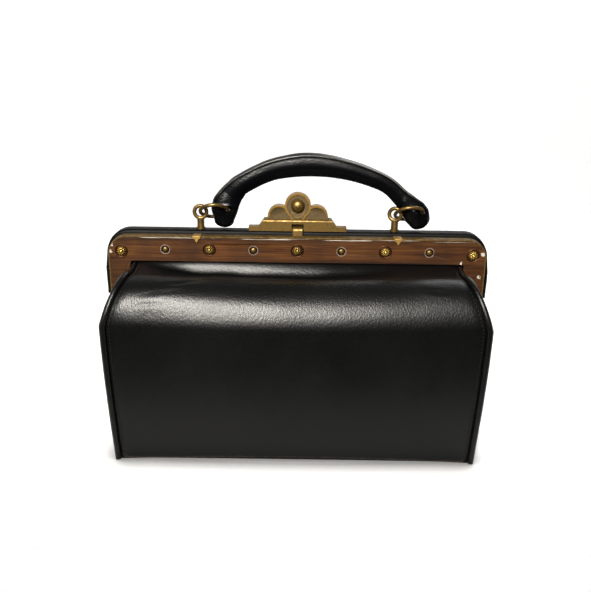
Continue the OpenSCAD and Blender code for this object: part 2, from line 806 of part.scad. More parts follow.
// The hasp rises from the front frame and curls back into the lock's slot
module hasp() {
    strap_y = front_back_y - hasp_t;
    curl = hasp_t + curl_in;
    color(worn_brass) translate([-hasp_w / 2, 0, 0]) rotate([90, 0, 90]) linear_extrude(hasp_w) {
        translate([strap_y, hasp_foot]) square([hasp_t, hasp_top - curl - hasp_foot]);
        intersection() {
            translate([strap_y + curl, hasp_top - curl]) difference() {
                circle(curl);
                circle(curl - hasp_t);
            }
            translate([strap_y, hasp_top - curl]) square(curl);
        }
        translate([strap_y + curl, hasp_top - hasp_t]) square([hasp_tip_y - strap_y - curl, hasp_t]);
    }
}
// The seat that holds the hasp's strap in the back of the front frame
module hasp_seat() {
    translate([-hasp_w / 2, front_back_y - hasp_t, hasp_foot]) cube([hasp_w, hasp_t + cut, bar_h]);
}

// Claws

claw_out = 1.5;
claw_x = post_span / 2 + claw_out;
module claw_seats() {
    for (x = [-1, 1])
        translate([x * claw_x - claw_w / 2, plate_front_y - cut, core_top])
            cube([claw_w, front_back_y - plate_front_y + 2 * cut, edge_t + cut]);
}
module claws() {
    top = core_top + edge_t + claw_t / 2;
    color(worn_brass) for (x = [-1, 1]) translate([x * claw_x, 0, 0]) {
        translate([-claw_w / 2, plate_front_y - claw_t, core_top])
            cube([claw_w, front_back_y - plate_front_y + claw_t, top - core_top]);
        upright(plate_front_y - claw_t, plate_front_y) polygon([
            [-claw_w / 2, core_top], [-claw_w / 5, core_top - claw_len / 3], [-claw_w / 6, core_top - claw_len * 0.6],
            [0, core_top - claw_len], [claw_w / 6, core_top - claw_len * 0.6], [claw_w / 5, core_top - claw_len / 3],
            [claw_w / 2, core_top]
        ]);
    }
}

// Handle, rings and eye posts

post_collar = 1;
collar_t = 1.2;
module eye_post(x, turn) {
    collar = neck_d + 2 * post_collar;
    color(worn_brass) translate([x, post_y, rear_top]) rotate([0, 0, turn]) {
        translate([0, 0, -post_shank]) cylinder(d = post_shank_d, h = post_shank + lap);
        cylinder(d = collar, h = collar_t);
        cylinder(d = neck_d, h = eye_rise - eye_r);
        translate([0, 0, eye_rise]) rotate([90, 0, 0]) rotate_extrude() translate([eye_r, 0]) circle(d = eye_wire);
    }
}
module left_eye_post() {
    eye_post(-post_span / 2, 0);
}
module right_eye_post() {
    eye_post(post_span / 2, right_eye_turn);
}
// A ring through an eye: it points to the handle's hole and leans about that line
module ring(x) {
    color(worn_brass) translate([x, post_y, eye_z]) rotate([0, -ring_angle, 0]) rotate([-ring_lean, 0, 0])
        translate([ring_d / 2, 0, 0]) rotate_extrude($fn = 64) translate([ring_d / 2, 0]) circle(d = ring_wire);
}
module left_ring() {
    ring(-post_span / 2);
}
module right_ring() {
    ring(post_span / 2);
}
// Knots of the handle's arch: share of the span, share of the rise, thickness and depth factors
handle_knots = [
    [0.018, 0.30, 1.10, 0.90], [0.082, 0.59, 0.88, 1.00], [0.230, 0.885, 0.91, 1.00],
    [0.410, 1.00, 1.00, 1.00], [0.606, 0.90, 0.86, 1.00], [0.790, 0.635, 0.74, 0.92],
    [0.900, 0.27, 0.62, 0.76]
];
// Turn between the rings of points that round off the handle's ends
end_turn = 25;
module handle() {
    end_half = handle_t / 2;
    end_z = pivot_z - lobe_drop + end_half;
    thin = lobe_t / handle_d;
    low = (end_z - pivot_z) / handle_rise;
    knots = concat(
        [[0, low, 1, thin], [-0.003, 0.06, 1.12, thin * 1.15]],
        handle_knots,
        [[0.995, 0.06, 1.04, thin * 1.15], [1, low, 1, thin]]);
    run = spline(knots, 4);
    arch = [for (k = run) [handle_left + k[0] * post_span, post_y, pivot_z + k[1] * handle_rise]];
    first_dir = tangent(arch, 0);
    last_dir = tangent(arch, len(arch) - 1);
    round_ends = [3, 2, 1] * end_turn;
    path = concat(
        [for (a = round_ends) arch[0] - first_dir * end_half * sin(a)],
        arch,
        [for (i = [2 : -1 : 0]) arch[len(arch) - 1] + last_dir * end_half * sin(round_ends[i])]);
    share = concat(
        [for (a = round_ends) [cos(a), thin * cos(a)]],
        [for (k = run) [k[2], k[3]]],
        [for (i = [2 : -1 : 0]) [cos(round_ends[i]), thin * cos(round_ends[i])]]);
    half_a = [for (s = share) s[0] * handle_t / 2];
    half_b = [for (s = share) s[1] * handle_d / 2];
    color(leather_black) difference() {
        tube(path, half_a, half_b, [0, 1, 0], 16);
        for (x = [handle_left, handle_left + post_span]) ring_hole(x);
    }
}
// A waisted hole along Y that the leaning ring can turn in
hole_waist = 3;
hole_flare = 1.05;
module ring_hole(x) {
    reach = handle_d / 2 + cut;
    flare = hole_flare * (reach - hole_waist);
    translate([x, post_y, pivot_z]) rotate([90, 0, 0]) rotate_extrude() polygon([
        [0, -reach], [hole_r + flare, -reach], [hole_r, -hole_waist], [hole_r, hole_waist], [hole_r + flare, reach], [0, reach]
    ]);
}

base_panel();
base_board();
front_panel();
front_shoulder();
rear_panel();
left_gusset();
right_gusset();
left_gusset_fold();
right_gusset_fold();
body_welts();
shoulder_welts();
rear_frame();
rear_frame_cover();
hinge_pins();
left_eye_post();
right_eye_post();
lock_plate();
lock_back();
catch_spring();
front_frame();
front_plate();
edge_trim();
stud_cups();
studs();
rivet_cups();
rivets();
hasp();
claws();
knob();
catch_slide();
left_ring();
right_ring();
handle();
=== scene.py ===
"""Dresses the doctor's bag: leather body, wood-grain frame, brass lock, handle and studio.

Sizes in the classes are millimetres, as in the part's source, and meshes are in metres.
The front faces -Y, and the origin is at the middle of the base, on the floor.
"""

import logging
import math
from contextlib import contextmanager
from dataclasses import dataclass
from enum import Enum
from typing import Iterator, Sequence

import bmesh
import bpy
import numpy as np
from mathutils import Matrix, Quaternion, Vector, noise


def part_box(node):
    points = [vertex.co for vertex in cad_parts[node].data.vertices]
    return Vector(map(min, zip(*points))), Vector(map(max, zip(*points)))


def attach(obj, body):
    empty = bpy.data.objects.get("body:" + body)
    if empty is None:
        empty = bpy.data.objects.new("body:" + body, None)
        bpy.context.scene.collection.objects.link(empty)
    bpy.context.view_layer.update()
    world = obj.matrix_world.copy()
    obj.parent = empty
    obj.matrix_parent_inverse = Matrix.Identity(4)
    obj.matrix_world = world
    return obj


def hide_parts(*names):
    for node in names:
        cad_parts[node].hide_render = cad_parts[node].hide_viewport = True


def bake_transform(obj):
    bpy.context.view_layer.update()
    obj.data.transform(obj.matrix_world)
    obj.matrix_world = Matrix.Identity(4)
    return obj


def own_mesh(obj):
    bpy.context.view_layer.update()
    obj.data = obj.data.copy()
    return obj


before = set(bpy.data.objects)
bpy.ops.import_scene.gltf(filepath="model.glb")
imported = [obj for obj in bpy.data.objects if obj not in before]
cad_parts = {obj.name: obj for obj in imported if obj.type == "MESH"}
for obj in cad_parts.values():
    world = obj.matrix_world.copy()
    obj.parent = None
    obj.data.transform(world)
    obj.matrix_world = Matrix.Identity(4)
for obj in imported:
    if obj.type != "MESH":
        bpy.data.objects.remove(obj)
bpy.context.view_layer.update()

MM = 0.001
Piece = bpy.types.Object
Tree = bpy.types.NodeTree
Socket = bpy.types.NodeSocket
LOG = logging.getLogger("doctors_bag")


class Rider(Enum):
    """The bodies that the pieces ride on."""

    BAG = "bag"
    FRONT = "front_frame"
    KNOB = "lock_knob"
    LEFT_RING = "left_ring"
    HANDLE = "handle"
    RIGHT_RING = "right_ring"


class Side(Enum):
    """The two ends of the bag, as the sign of X."""

    LEFT = -1
    RIGHT = 1


class Face(Enum):
    """The front and the rear of the bag, as the sign of Y."""

    FRONT = -1
    REAR = 1


def linear(code: str) -> tuple[float, float, float, float]:
    """Turns an sRGB hex code into a linear colour with full alpha.

    Args:
        code: Six hex digits after a hash sign.

    Returns:
        Red, green, blue and alpha in linear light.
    """
    parts = [int(code[i : i + 2], 16) / 255 for i in (1, 3, 5)]
    red, green, blue = (c / 12.92 if c <= 0.04045 else ((c + 0.055) / 1.055) ** 2.4 for c in parts)
    return (red, green, blue, 1.0)


def per(size: float) -> float:
    """Texture scale that repeats once in so many millimetres."""
    return 1.0 / (size * MM)


def grey(level: float) -> tuple[float, float, float, float]:
    """A neutral colour of one linear level."""
    return (level, level, level, 1.0)


def feed(tree: Tree, node: bpy.types.Node, inputs: dict) -> None:
    """Sets a node's inputs, or links them.

    Args:
        tree: The tree that holds the node.
        node: The node.
        inputs: Values, or output sockets to link from, by the input's name or number.
    """
    for key, value in inputs.items():
        if isinstance(value, Socket):
            tree.links.new(value, node.inputs[key])
        else:
            node.inputs[key].default_value = value


def add_node(tree: Tree, kind: str, inputs: dict | None = None, **settings) -> bpy.types.Node:
    """Adds a node with its settings and its links.

    Args:
        tree: The tree that gets the node.
        kind: Blender's name for the type of node.
        inputs: Values, or output sockets to link from, by the input's name or number.
        settings: Properties of the node; "stops" fills a colour ramp.

    Returns:
        The new node.
    """
    node = tree.nodes.new(kind)
    for place, (position, colour) in enumerate(settings.pop("stops", ())):
        elements = node.color_ramp.elements
        stop = elements[place] if place < len(elements) else elements.new(position)
        stop.position = position
        stop.color = colour
    for key, value in settings.items():
        setattr(node, key, value)
    feed(tree, node, inputs or {})
    return node


@dataclass(frozen=True)
class Shading:
    """A material's nodes, with short ways to add the ones that the finishes share."""

    tree: Tree
    surface: bpy.types.Node

    def place(self) -> Socket:
        """Where a point lies on the bag."""
        return add_node(self.tree, "ShaderNodeTexCoord").outputs["Object"]

    def wear(self) -> Socket:
        """How worn the piece is, as stored on its points."""
        return add_node(self.tree, "ShaderNodeAttribute", attribute_name="wear").outputs["Fac"]

    def height(self, place: Socket) -> Socket:
        """How high a place is."""
        return add_node(self.tree, "ShaderNodeSeparateXYZ", {"Vector": place}).outputs["Z"]

    def scaled(self, place: Socket, scale: Sequence[float]) -> Socket:
        """Places drawn out along the axes."""
        return add_node(self.tree, "ShaderNodeMapping", {"Vector": place, "Scale": scale}).outputs[0]

    def noise(
        self, place: Socket, size: float, detail: float, rough: float = 0.5, bend: float = 0.0
    ) -> Socket:
        """Adds cloudy noise.

        Args:
            place: Where it is looked up.
            size: Distance in millimetres over which it changes.
            detail: How many finer layers it has.
            rough: How strong the finer layers are.
            bend: How far they are swirled.

        Returns:
            Its level, about 0.5 on average.
        """
        values = {"Vector": place, "Scale": per(size), "Detail": detail}
        values |= {"Roughness": rough, "Distortion": bend}
        return add_node(self.tree, "ShaderNodeTexNoise", values).outputs["Fac"]

    def span(self, value: Socket, start: float, stop: float, low: float = 0.0, high: float = 1.0) -> Socket:
        """Carries one range of values over to another, held at its ends.

        Args:
            value: What is carried over.
            start: The value that becomes low.
            stop: The value that becomes high.
            low: First end of the new range.
            high: Last end of the new range.

        Returns:
            The new value.
        """
        values = {"Value": value, "From Min": start, "From Max": stop, "To Min": low, "To Max": high}
        return add_node(self.tree, "ShaderNodeMapRange", values).outputs[0]

    def math(self, operation: str, *values: Socket | float) -> Socket:
        """Works one sum on values."""
        return add_node(self.tree, "ShaderNodeMath", dict(enumerate(values)), operation=operation).outputs[0]

    def apart(self, place: Socket, spot: Sequence[float]) -> Socket:
        """The distance from a spot given in millimetres."""
        values = {0: place, 1: [c * MM for c in spot]}
        return add_node(self.tree, "ShaderNodeVectorMath", values, operation="DISTANCE").outputs["Value"]

    def ramp(self, value: Socket, *stops: tuple) -> Socket:
        """A colour for each value, blended between stops."""
        return add_node(self.tree, "ShaderNodeValToRGB", {"Fac": value}, stops=stops).outputs["Color"]

    def mix(self, share: Socket | float, first: object, second: object, blend: str = "MIX") -> Socket:
        """Blends two colours.

        Args:
            share: How much of the second there is.
            first: A colour, or a socket.
            second: Another one.
            blend: Blender's name for the way of blending.

        Returns:
            The blended colour.
        """
        values = {0: share, 6: first, 7: second}
        return add_node(self.tree, "ShaderNodeMix", values, data_type="RGBA", blend_type=blend).outputs[2]

    def bump(self, height: Socket, strength: float, depth: float, under: Socket | None = None) -> Socket:
        """Adds a relief that is too fine for the mesh.

        Args:
            height: Its levels.
            strength: How much of it shows.
            depth: Its depth in millimetres.
            under: A coarser relief that it lies on.

        Returns:
            The bent normal.
        """
        values = {"Height": height, "Strength": strength, "Distance": depth * MM}
        if under is not None:
            values["Normal"] = under
        return add_node(self.tree, "ShaderNodeBump", values).outputs[0]

    def put(self, sockets: dict) -> None:
        """Gives the surface's sockets their values or links."""
        feed(self.tree, self.surface, sockets)


@dataclass(frozen=True)
class Finish:
    """A finish of the bag: its material's name and the record's slot for it."""

    name: str
    slot: str

    def material(self) -> bpy.types.Material:
        """Makes the material the first time that it is asked for.

        Returns:
            The material.
        """
        made = bpy.data.materials.get(self.name)
        if made is None:
            made = bpy.data.materials.new(self.name)
            made.use_nodes = True
            self.shade(Shading(made.node_tree, made.node_tree.nodes["Principled BSDF"]))
        return made

    def shade(self, nodes: Shading) -> None:
        """Adds the finish's nodes."""
        raise NotImplementedError


@dataclass(frozen=True)
class GlazedLeather(Finish):
    """Black calf, glazed smooth: a tight pore grain under a polish that breaks into soft creases.

    It shows long mild highlights, a faint upright drag in them from the glazing, and brown
    fibre where the polish has rubbed off the edges.
    """

    base: str = "#050606"
    worn: str = "#4a4038"
    roughness: float = 0.35
    roughness_spread: float = 0.06
    grain: float = 1.5
    grain_depth: float = 0.25
    drag: float = 1.8
    crease: float = 24.0
    crease_depth: float = 0.3
    scuff: float = 2.5
    rubbed_from: float = 0.16
    rubbed_through: float = 0.62
    specular: float = 0.17

    def shade(self, nodes: Shading) -> None:
        """Adds the grain, the creases, the uneven polish and the rubbed edges.

        Args:
            nodes: The material's nodes.
        """
        place = nodes.place()
        upright = nodes.scaled(place, (1.0, 1.0, 1.0 / self.drag))
        pores = nodes.noise(upright, self.grain, 3.0, 0.6)
        folds = nodes.noise(place, self.crease, 4.0, 0.55, 1.2)
        polish = nodes.noise(place, 2 * self.crease, 5.0)
        half = self.roughness_spread / 2
        rubbed = nodes.math("MULTIPLY", nodes.wear(), nodes.noise(place, self.scuff, 6.0))
        bare = nodes.ramp(rubbed, (self.rubbed_from, grey(0.0)), (self.rubbed_through, grey(1.0)))
        creased = nodes.bump(folds, 0.5, self.crease_depth)
        nodes.put({
            "Base Color": nodes.mix(bare, linear(self.base), linear(self.worn)),
            "Roughness": nodes.span(polish, 0.3, 0.7, self.roughness - half, self.roughness + half),
            "Normal": nodes.bump(pores, 0.9, self.grain_depth, creased),
            "Specular IOR Level": self.specular,
        })


@dataclass(frozen=True)
class WoodGrainLacquer(Finish):
    """Sheet metal grained in brown to look like walnut, under old lacquer.

    Long streaks run along the bar, a darker cloud lies over them, the lacquer gives a dull
    sheen, and the pale primer shows as a broken line and chips at the edges.
    """

    body: str = "#613814"
    dark: str = "#361905"
    light: str = "#7f5225"
    primer: str = "#d8d2c6"
    streak: float = 1.9
    streak_length: float = 70.0
    streak_depth: float = 0.05
    cloud: float = 34.0
    low_z: float = 160.0
    edge_z: float = 179.9
    edge_band: float = 0.8
    ragged: float = 1.1
    crumb: float = 1.6
    chip_depth: float = 1.6
    bare_from: float = 0.50
    bare_through: float = 0.56
    rings: tuple[float, ...] = (-114.0, -38.0, 38.0, 114.0)
    ring_z: float = 170.4
    ring_r: float = 3.9
    ring_band: float = 0.35
    ring_wear: float = 0.518
    chips: tuple[tuple[float, float, float], ...] = (
        (-160.6, 174.0, 5.0), (-161.2, 168.0, 3.4), (160.8, 169.0, 5.6), (158.8, 149.0, 4.0),
        (142.2, 161.4, 3.2),
    )

    def grained(self, nodes: Shading, place: Socket, streaks: Socket) -> Socket:
        """The painted grain, darker in clouds, with painted shade towards the bottom and top edges for the
        plate's rounding.

        Args:
            nodes: The material's nodes.
            place: Where a point lies.
            streaks: The streaks' levels.

        Returns:
            Its colour.
        """
        paint_tone = nodes.ramp(
            streaks, (0.30, linear(self.dark)), (0.50, linear(self.body)), (0.74, linear(self.light))
        )
        clouds = nodes.span(nodes.noise(place, self.cloud, 3.0), 0.35, 0.65, 0.55, 1.15)
        # Painted shade: darker towards the bar's bottom and top edges, standing in for the shading of a
        # rounded plate.
        height = nodes.span(nodes.height(place), self.low_z * MM, self.edge_z * MM)
        painted_edge_shade = nodes.ramp(
            height, (0.0, grey(0.55)), (0.3, grey(0.95)), (0.75, grey(1.0)), (1.0, grey(0.6))
        )
        return nodes.mix(1.0, paint_tone, nodes.math("MULTIPLY", clouds, painted_edge_shade), "MULTIPLY")

    def bared(self, nodes: Shading, place: Socket, along: Socket) -> Socket:
        """Where the primer shows: along the top edge, round the rivets and at the chips.

        Args:
            nodes: The material's nodes.
            place: Where a point lies.
            along: The same, drawn out along the streaks.

        Returns:
            A level that is past a half where the lacquer is gone.
        """
        edge = nodes.span(nodes.height(place), (self.edge_z - self.edge_band) * MM, self.edge_z * MM)
        bare = nodes.math("MULTIPLY", edge, nodes.noise(along, self.ragged, 6.0))
        crumbs = nodes.noise(place, self.crumb, 3.0)
        flat = add_node(
            nodes.tree, "ShaderNodeVectorMath", {0: place, 1: (1.0, 0.0, 1.0)}, operation="MULTIPLY"
        ).outputs[0]
        for x in self.rings:
            away = nodes.apart(flat, (x, 0.0, self.ring_z))
            rubbed = nodes.math("COMPARE", away, self.ring_r * MM, self.ring_band * MM)
            bare = nodes.math("MAXIMUM", bare, nodes.math("MULTIPLY", rubbed, self.ring_wear))
        for x, z, size in self.chips:
            near = nodes.span(nodes.apart(flat, (x, 0.0, z)), size * MM, 0.0, 0.0, self.chip_depth)
            bare = nodes.math("MAXIMUM", bare, nodes.math("MULTIPLY", near, crumbs))
        return bare

    def shade(self, nodes: Shading) -> None:
        """Adds the streaks, the cloud and the places where the primer shows.

        Args:
            nodes: The material's nodes.
        """
        place = nodes.place()
        along = nodes.scaled(place, (self.streak / self.streak_length, 1.0, 1.0))
        streaks = nodes.noise(along, self.streak, 5.0, 0.62, 0.7)
        grain = self.grained(nodes, place, streaks)
        bare = self.bared(nodes, place, along)
        bare = nodes.ramp(bare, (self.bare_from, grey(0.0)), (self.bare_through, grey(1.0)))
        nodes.put({
            "Base Color": nodes.mix(bare, grain, linear(self.primer)),
            "Normal": nodes.bump(streaks, 0.25, self.streak_depth),
            "Roughness": 0.5,
            "Specular IOR Level": 0.1,
        })


@dataclass(frozen=True)
class AgedMetal(Finish):
    """Stamped metal with a hand-worn patina: bright on the high places, brown in the hollows.

    Fine rubbing scratches and cloudy tarnish break its reflections.
    """

    bright: str = "#6b5426"
    tarnish: str = "#46351a"
    cloud: float = 3.4
    scratch: float = 0.5
    scratch_depth: float = 0.04
    bright_to: float = 0.38
    tarnish_from: float = 0.72
    polished: float = 0.08
    dulled: float = 0.2
    roughness: float = 0.44
    metallic: float = 0.55

    def shade(self, nodes: Shading) -> None:
        """Adds the tarnish, the uneven polish and the scratches.

        Args:
            nodes: The material's nodes.
        """
        place = nodes.place()
        aged = nodes.math("ADD", nodes.noise(place, self.cloud, 6.0, 0.62), nodes.wear())
        scratched = nodes.noise(place, self.scratch, 4.0, 0.7)
        smoothest, dullest = self.roughness - self.polished, self.roughness + self.dulled
        stops = (self.bright_to, linear(self.bright)), (self.tarnish_from, linear(self.tarnish))
        nodes.put({
            "Base Color": nodes.ramp(aged, *stops),
            "Roughness": nodes.span(aged, 0.35, 0.8, smoothest, dullest),
            "Normal": nodes.bump(scratched, 0.3, self.scratch_depth),
            "Metallic": self.metallic,
            "Specular IOR Level": 0.2,
        })


@dataclass(frozen=True)
class PressedBoard(Finish):
    """Pressed fibre board: matt tan with short felted fibres."""

    pale: str = "#8a7150"
    dark: str = "#6a5337"
    fibre: float = 1.4

    def shade(self, nodes: Shading) -> None:
        """Adds the felted fibres."""
        fibres = nodes.noise(nodes.place(), self.fibre, 6.0)
        nodes.put({
            "Base Color": nodes.ramp(fibres, (0.35, linear(self.dark)), (0.65, linear(self.pale))),
            "Roughness": 0.85,
        })


@dataclass(frozen=True)
class FloorPaint(Finish):
    """Matt white paint on the studio floor, lifted to white but for the shadow close round the bag's foot."""

    tone: float = 0.80
    lift: float = 0.60
    shadow: float = 26.0
    deepest: float = 0.18

    def shade(self, nodes: Shading) -> None:
        """Adds the matt paint and the lift.

        Args:
            nodes: The material's nodes.
        """
        near = add_node(nodes.tree, "ShaderNodeAmbientOcclusion", {"Distance": self.shadow * MM}, samples=8)
        lit = nodes.span(near.outputs["AO"], 0.5, 0.97, self.deepest, 1.0)
        ray = add_node(nodes.tree, "ShaderNodeLightPath").outputs
        seen = nodes.math("MAXIMUM", ray["Is Camera Ray"], ray["Is Glossy Ray"])
        seen = nodes.math("MAXIMUM", seen, ray["Is Transmission Ray"])
        nodes.put({
            "Base Color": nodes.mix(lit, grey(self.tone * self.deepest), grey(self.tone)),
            "Roughness": 0.9,
            "Specular IOR Level": 0.1,
            "Emission Color": grey(1.0),
            "Emission Strength": nodes.math("MULTIPLY", nodes.math("MULTIPLY", seen, self.lift), lit),
        })


CALF = GlazedLeather("glazed_calf", "body_leather")
SIDE_CALF = GlazedLeather(
    "glazed_calf_sides", "body_leather", roughness=0.32, crease=15.0, crease_depth=0.5
)
PIPING = GlazedLeather(
    "piped_welt_calf", "welt_leather", base="#080808", roughness=0.34, crease=6.0, drag=1.0
)
FRAME_CALF = GlazedLeather(
    "stretched_frame_calf", "frame_leather", base="#070707", roughness=0.5, crease=9.0, drag=1.0,
    crease_depth=0.35, specular=0.05,
)
# The slightly blue base colour of this leather is a painted reflection: the blue sheen that the room's light
# gives the black handle.
HANDLE_CALF = GlazedLeather(
    "rolled_handle_calf", "handle_leather", base="#06070a", worn="#7a6f52", roughness=0.25,
    crease=12.0, drag=1.0,
)
THREAD = GlazedLeather(
    "waxed_thread", "welt_leather", base="#17161a", roughness=0.6, grain=0.4, grain_depth=0.1
)
WOOD = WoodGrainLacquer("wood_grain_lacquer", "lacquered_wood")
BRASS = AgedMetal("hand_worn_brass", "aged_brass")
EDGE_BRASS = AgedMetal("dull_edge_brass", "aged_brass", bright="#5e4a22", tarnish="#261b0a", roughness=0.65)
STUD_BRASS = AgedMetal(
    "petalled_stud_brass", "aged_brass", bright="#d0a94e", tarnish="#241809", cloud=14.0, roughness=0.36,
    metallic=0.6,
)
# The rim's lighter brass is partly rubbed wear, partly a painted highlight for the light on its upper edges.
RIM_BRASS = AgedMetal("rubbed_rim_brass", "aged_brass", bright="#957437", tarnish="#644d22", roughness=0.38)
RECESS_BRASS = AgedMetal("recess_brass", "aged_brass", bright="#6b5a3a", tarnish="#413420", roughness=0.5)
FIELD_BRASS = AgedMetal("dull_field_brass", "aged_brass", bright="#58492e", tarnish="#41351f", roughness=0.5)
RING_BRASS = AgedMetal(
    "handled_ring_brass", "aged_brass", bright="#6e582c", tarnish="#362811", roughness=0.42
)
# A lighter copy of the brass for the claws: painted highlight, for the light that their edges catch.
CLAW_BRASS_PAINTED_HIGHLIGHT = AgedMetal(
    "rubbed_claw_brass", "aged_brass", bright="#a58443", tarnish="#6b5427", roughness=0.45
)
BRONZE = AgedMetal(
    "browned_bronze", "dark_bronze", bright="#4a2d18", tarnish="#1c0f08", roughness=0.45, metallic=0.7
)
STEEL = AgedMetal("bar_steel", "frame_steel", bright="#8a8b8d", tarnish="#5c5b5a", roughness=0.4)
BOARD = PressedBoard("pressed_fibre_board", "fibre_board")
STUDIO_FLOOR = FloorPaint("studio_floor_paint", "")


def place_object(name: str, data: bpy.types.ID) -> Piece:
    """Puts a new object into the scene.

    Args:
        name: Its name.
        data: Its mesh, lamp or camera.

    Returns:
        The object.
    """
    obj = bpy.data.objects.new(name, data)
    bpy.context.scene.collection.objects.link(obj)
    return obj


@contextmanager
def edited(mesh: bpy.types.Mesh) -> Iterator[bmesh.types.BMesh]:
    """Opens a mesh for changes and writes them back.

    Args:
        mesh: The mesh.

    Yields:
        Its editable form.
    """
    shape = bmesh.new()
    shape.from_mesh(mesh)
    yield shape
    shape.to_mesh(mesh)
    shape.free()


def smooth(mesh: bpy.types.Mesh, crisp: float | None = None) -> None:
    """Shades a mesh smooth.

    Args:
        mesh: The mesh.
        crisp: Angle in degrees past which an edge stays sharp, if any does.
    """
    mesh.polygons.foreach_set("use_smooth", [True] * len(mesh.polygons))
    if crisp is not None:
        mesh.set_sharp_from_angle(angle=math.radians(crisp))


def new_piece(name: str, verts: Sequence, faces: Sequence, finish: Finish, crisp: float = 40.0) -> Piece:
    """Makes a mesh object at the origin, smooth except at crisp edges.

    Args:
        name: The piece's name.
        verts: Points in millimetres.
        faces: Tuples of point numbers.
        finish: The finish that it gets.
        crisp: Angle in degrees past which an edge stays sharp.

    Returns:
        The new object.
    """
    mesh = bpy.data.meshes.new(name)
    mesh.from_pydata((np.asarray(verts, float) * MM).tolist(), [], [tuple(map(int, f)) for f in faces])
    with edited(mesh) as shape:
        bmesh.ops.recalc_face_normals(shape, faces=shape.faces)
    smooth(mesh, crisp)
    mesh.materials.append(finish.material())
    return place_object(name, mesh)


def settle(obj: Piece, finish: Finish, rider: Rider, *nodes: str) -> Piece:
    """Lets a finished piece ride on its body and stand for its solids.

    Args:
        obj: The piece.
        finish: Its finish; not used.
        rider: The body that it moves with.
        nodes: The solids that it stands for.

    Returns:
        The piece.
    """
    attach(obj, rider.value)
    if nodes:
        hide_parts(*nodes)
    LOG.info("%s: %d faces on %s", obj.name, len(obj.data.polygons), rider.value)
    return obj


def paint(obj: Piece, values: Sequence[float]) -> None:
    """Stores how worn each point of a piece is.

    Args:
        obj: The piece.
        values: One number for each point, 0 for new and 1 for rubbed through.
    """
    layer = obj.data.attributes.new("wear", "FLOAT", "POINT")
    layer.data.foreach_set("value", np.clip(np.asarray(values, np.float32), 0.0, 1.0))


def unit_rows(vectors: np.ndarray) -> np.ndarray:
    """The same vectors with length 1."""
    return vectors / np.maximum(np.linalg.norm(vectors, axis=-1, keepdims=True), 1e-9)


def bell(value: np.ndarray, centre: float, width: float) -> np.ndarray:
    """A smooth bump of height 1 round a centre."""
    return np.exp(-(((value - centre) / width) ** 2))


def wander(points: np.ndarray, size: float, seed: float) -> np.ndarray:
    """Smooth noise between about -1 and 1 at each point.

    Args:
        points: Points in millimetres, in the last axis.
        size: Distance in millimetres over which it changes.
        seed: Shift that gives each use its own noise.

    Returns:
        One number for each point.
    """
    flat = points.reshape(-1, 3) / size + seed
    values = np.array([noise.noise(Vector(p)) for p in flat])
    return values.reshape(points.shape[:-1])


@dataclass(frozen=True)
class Waves:
    """Soft unevenness: how strong it is, and over how many millimetres it changes."""

    strength: float
    size: float

    def at(self, points: np.ndarray, seed: float) -> np.ndarray:
        """The unevenness at each point."""
        return self.strength * wander(points, self.size, seed)


def spline(knots: np.ndarray, steps: int) -> np.ndarray:
    """A smooth curve through knots.

    Args:
        knots: One row for each knot.
        steps: Points between two knots.

    Returns:
        One row for each point of the curve.
    """
    rows = []
    last = len(knots) - 1
    for i in range(last):
        p0, p1, p2, p3 = knots[max(i - 1, 0)], knots[i], knots[i + 1], knots[min(i + 2, last)]
        for u in np.arange(steps) / steps:
            rows.append(
                0.5 * (2 * p1 + (p2 - p0) * u + (2 * p0 - 5 * p1 + 4 * p2 - p3) * u**2
                       + (3 * p1 - p0 - 3 * p2 + p3) * u**3)
            )
    rows.append(knots[last])
    return np.array(rows)


def sheet(name: str, grid: np.ndarray, thickness: float, finish: Finish) -> Piece:
    """A closed sheet of leather with its outer face on a grid of points.

    Args:
        name: The piece's name.
        grid: Points in millimetres, rows going up and columns going across.
        thickness: Thickness towards the side that rows cross columns points to.
        finish: Its finish.

    Returns:
        The piece; its first points are the grid's.
    """
    rows, columns, _ = grid.shape
    inward = unit_rows(np.cross(np.gradient(grid, axis=0), np.gradient(grid, axis=1)))
    verts = np.concatenate([grid.reshape(-1, 3), (grid + thickness * inward).reshape(-1, 3)])
    ids = np.arange(rows * columns).reshape(rows, columns)
    far = rows * columns
    faces = []
    for i in range(rows - 1):
        for j in range(columns - 1):
            a, b, c, d = ids[i, j], ids[i, j + 1], ids[i + 1, j + 1], ids[i + 1, j]
            faces.append((a, b, c, d))
            faces.append((far + d, far + c, far + b, far + a))
    rim = np.concatenate([ids[0, :-1], ids[:-1, -1], ids[-1, :0:-1], ids[:0:-1, 0]])
    for a, b in zip(rim, np.roll(rim, -1)):
        faces.append((b, a, far + a, far + b))
    return new_piece(name, verts, faces, finish, crisp=50.0)


def full_turn(sides: int) -> np.ndarray:
    """Angles of so many even steps round a circle."""
    return np.linspace(0, 2 * math.pi, sides, endpoint=False)


def skin(count: int, sides: int) -> list[tuple[int, int, int, int]]:
    """The faces between rings of points that follow each other.

    Args:
        count: How many rings there are.
        sides: How many points each has.

    Returns:
        Point numbers of the faces.
    """
    faces = []
    for start in range(0, (count - 1) * sides, sides):
        for s in range(sides):
            a, b = start + s, start + (s + 1) % sides
            faces.append((a, b, b + sides, a + sides))
    return faces


def lids(count: int, sides: int) -> list[tuple[int, ...]]:
    """The faces that close the first and the last of so many rings."""
    return [tuple(range(sides)), tuple(range((count - 1) * sides, count * sides))]


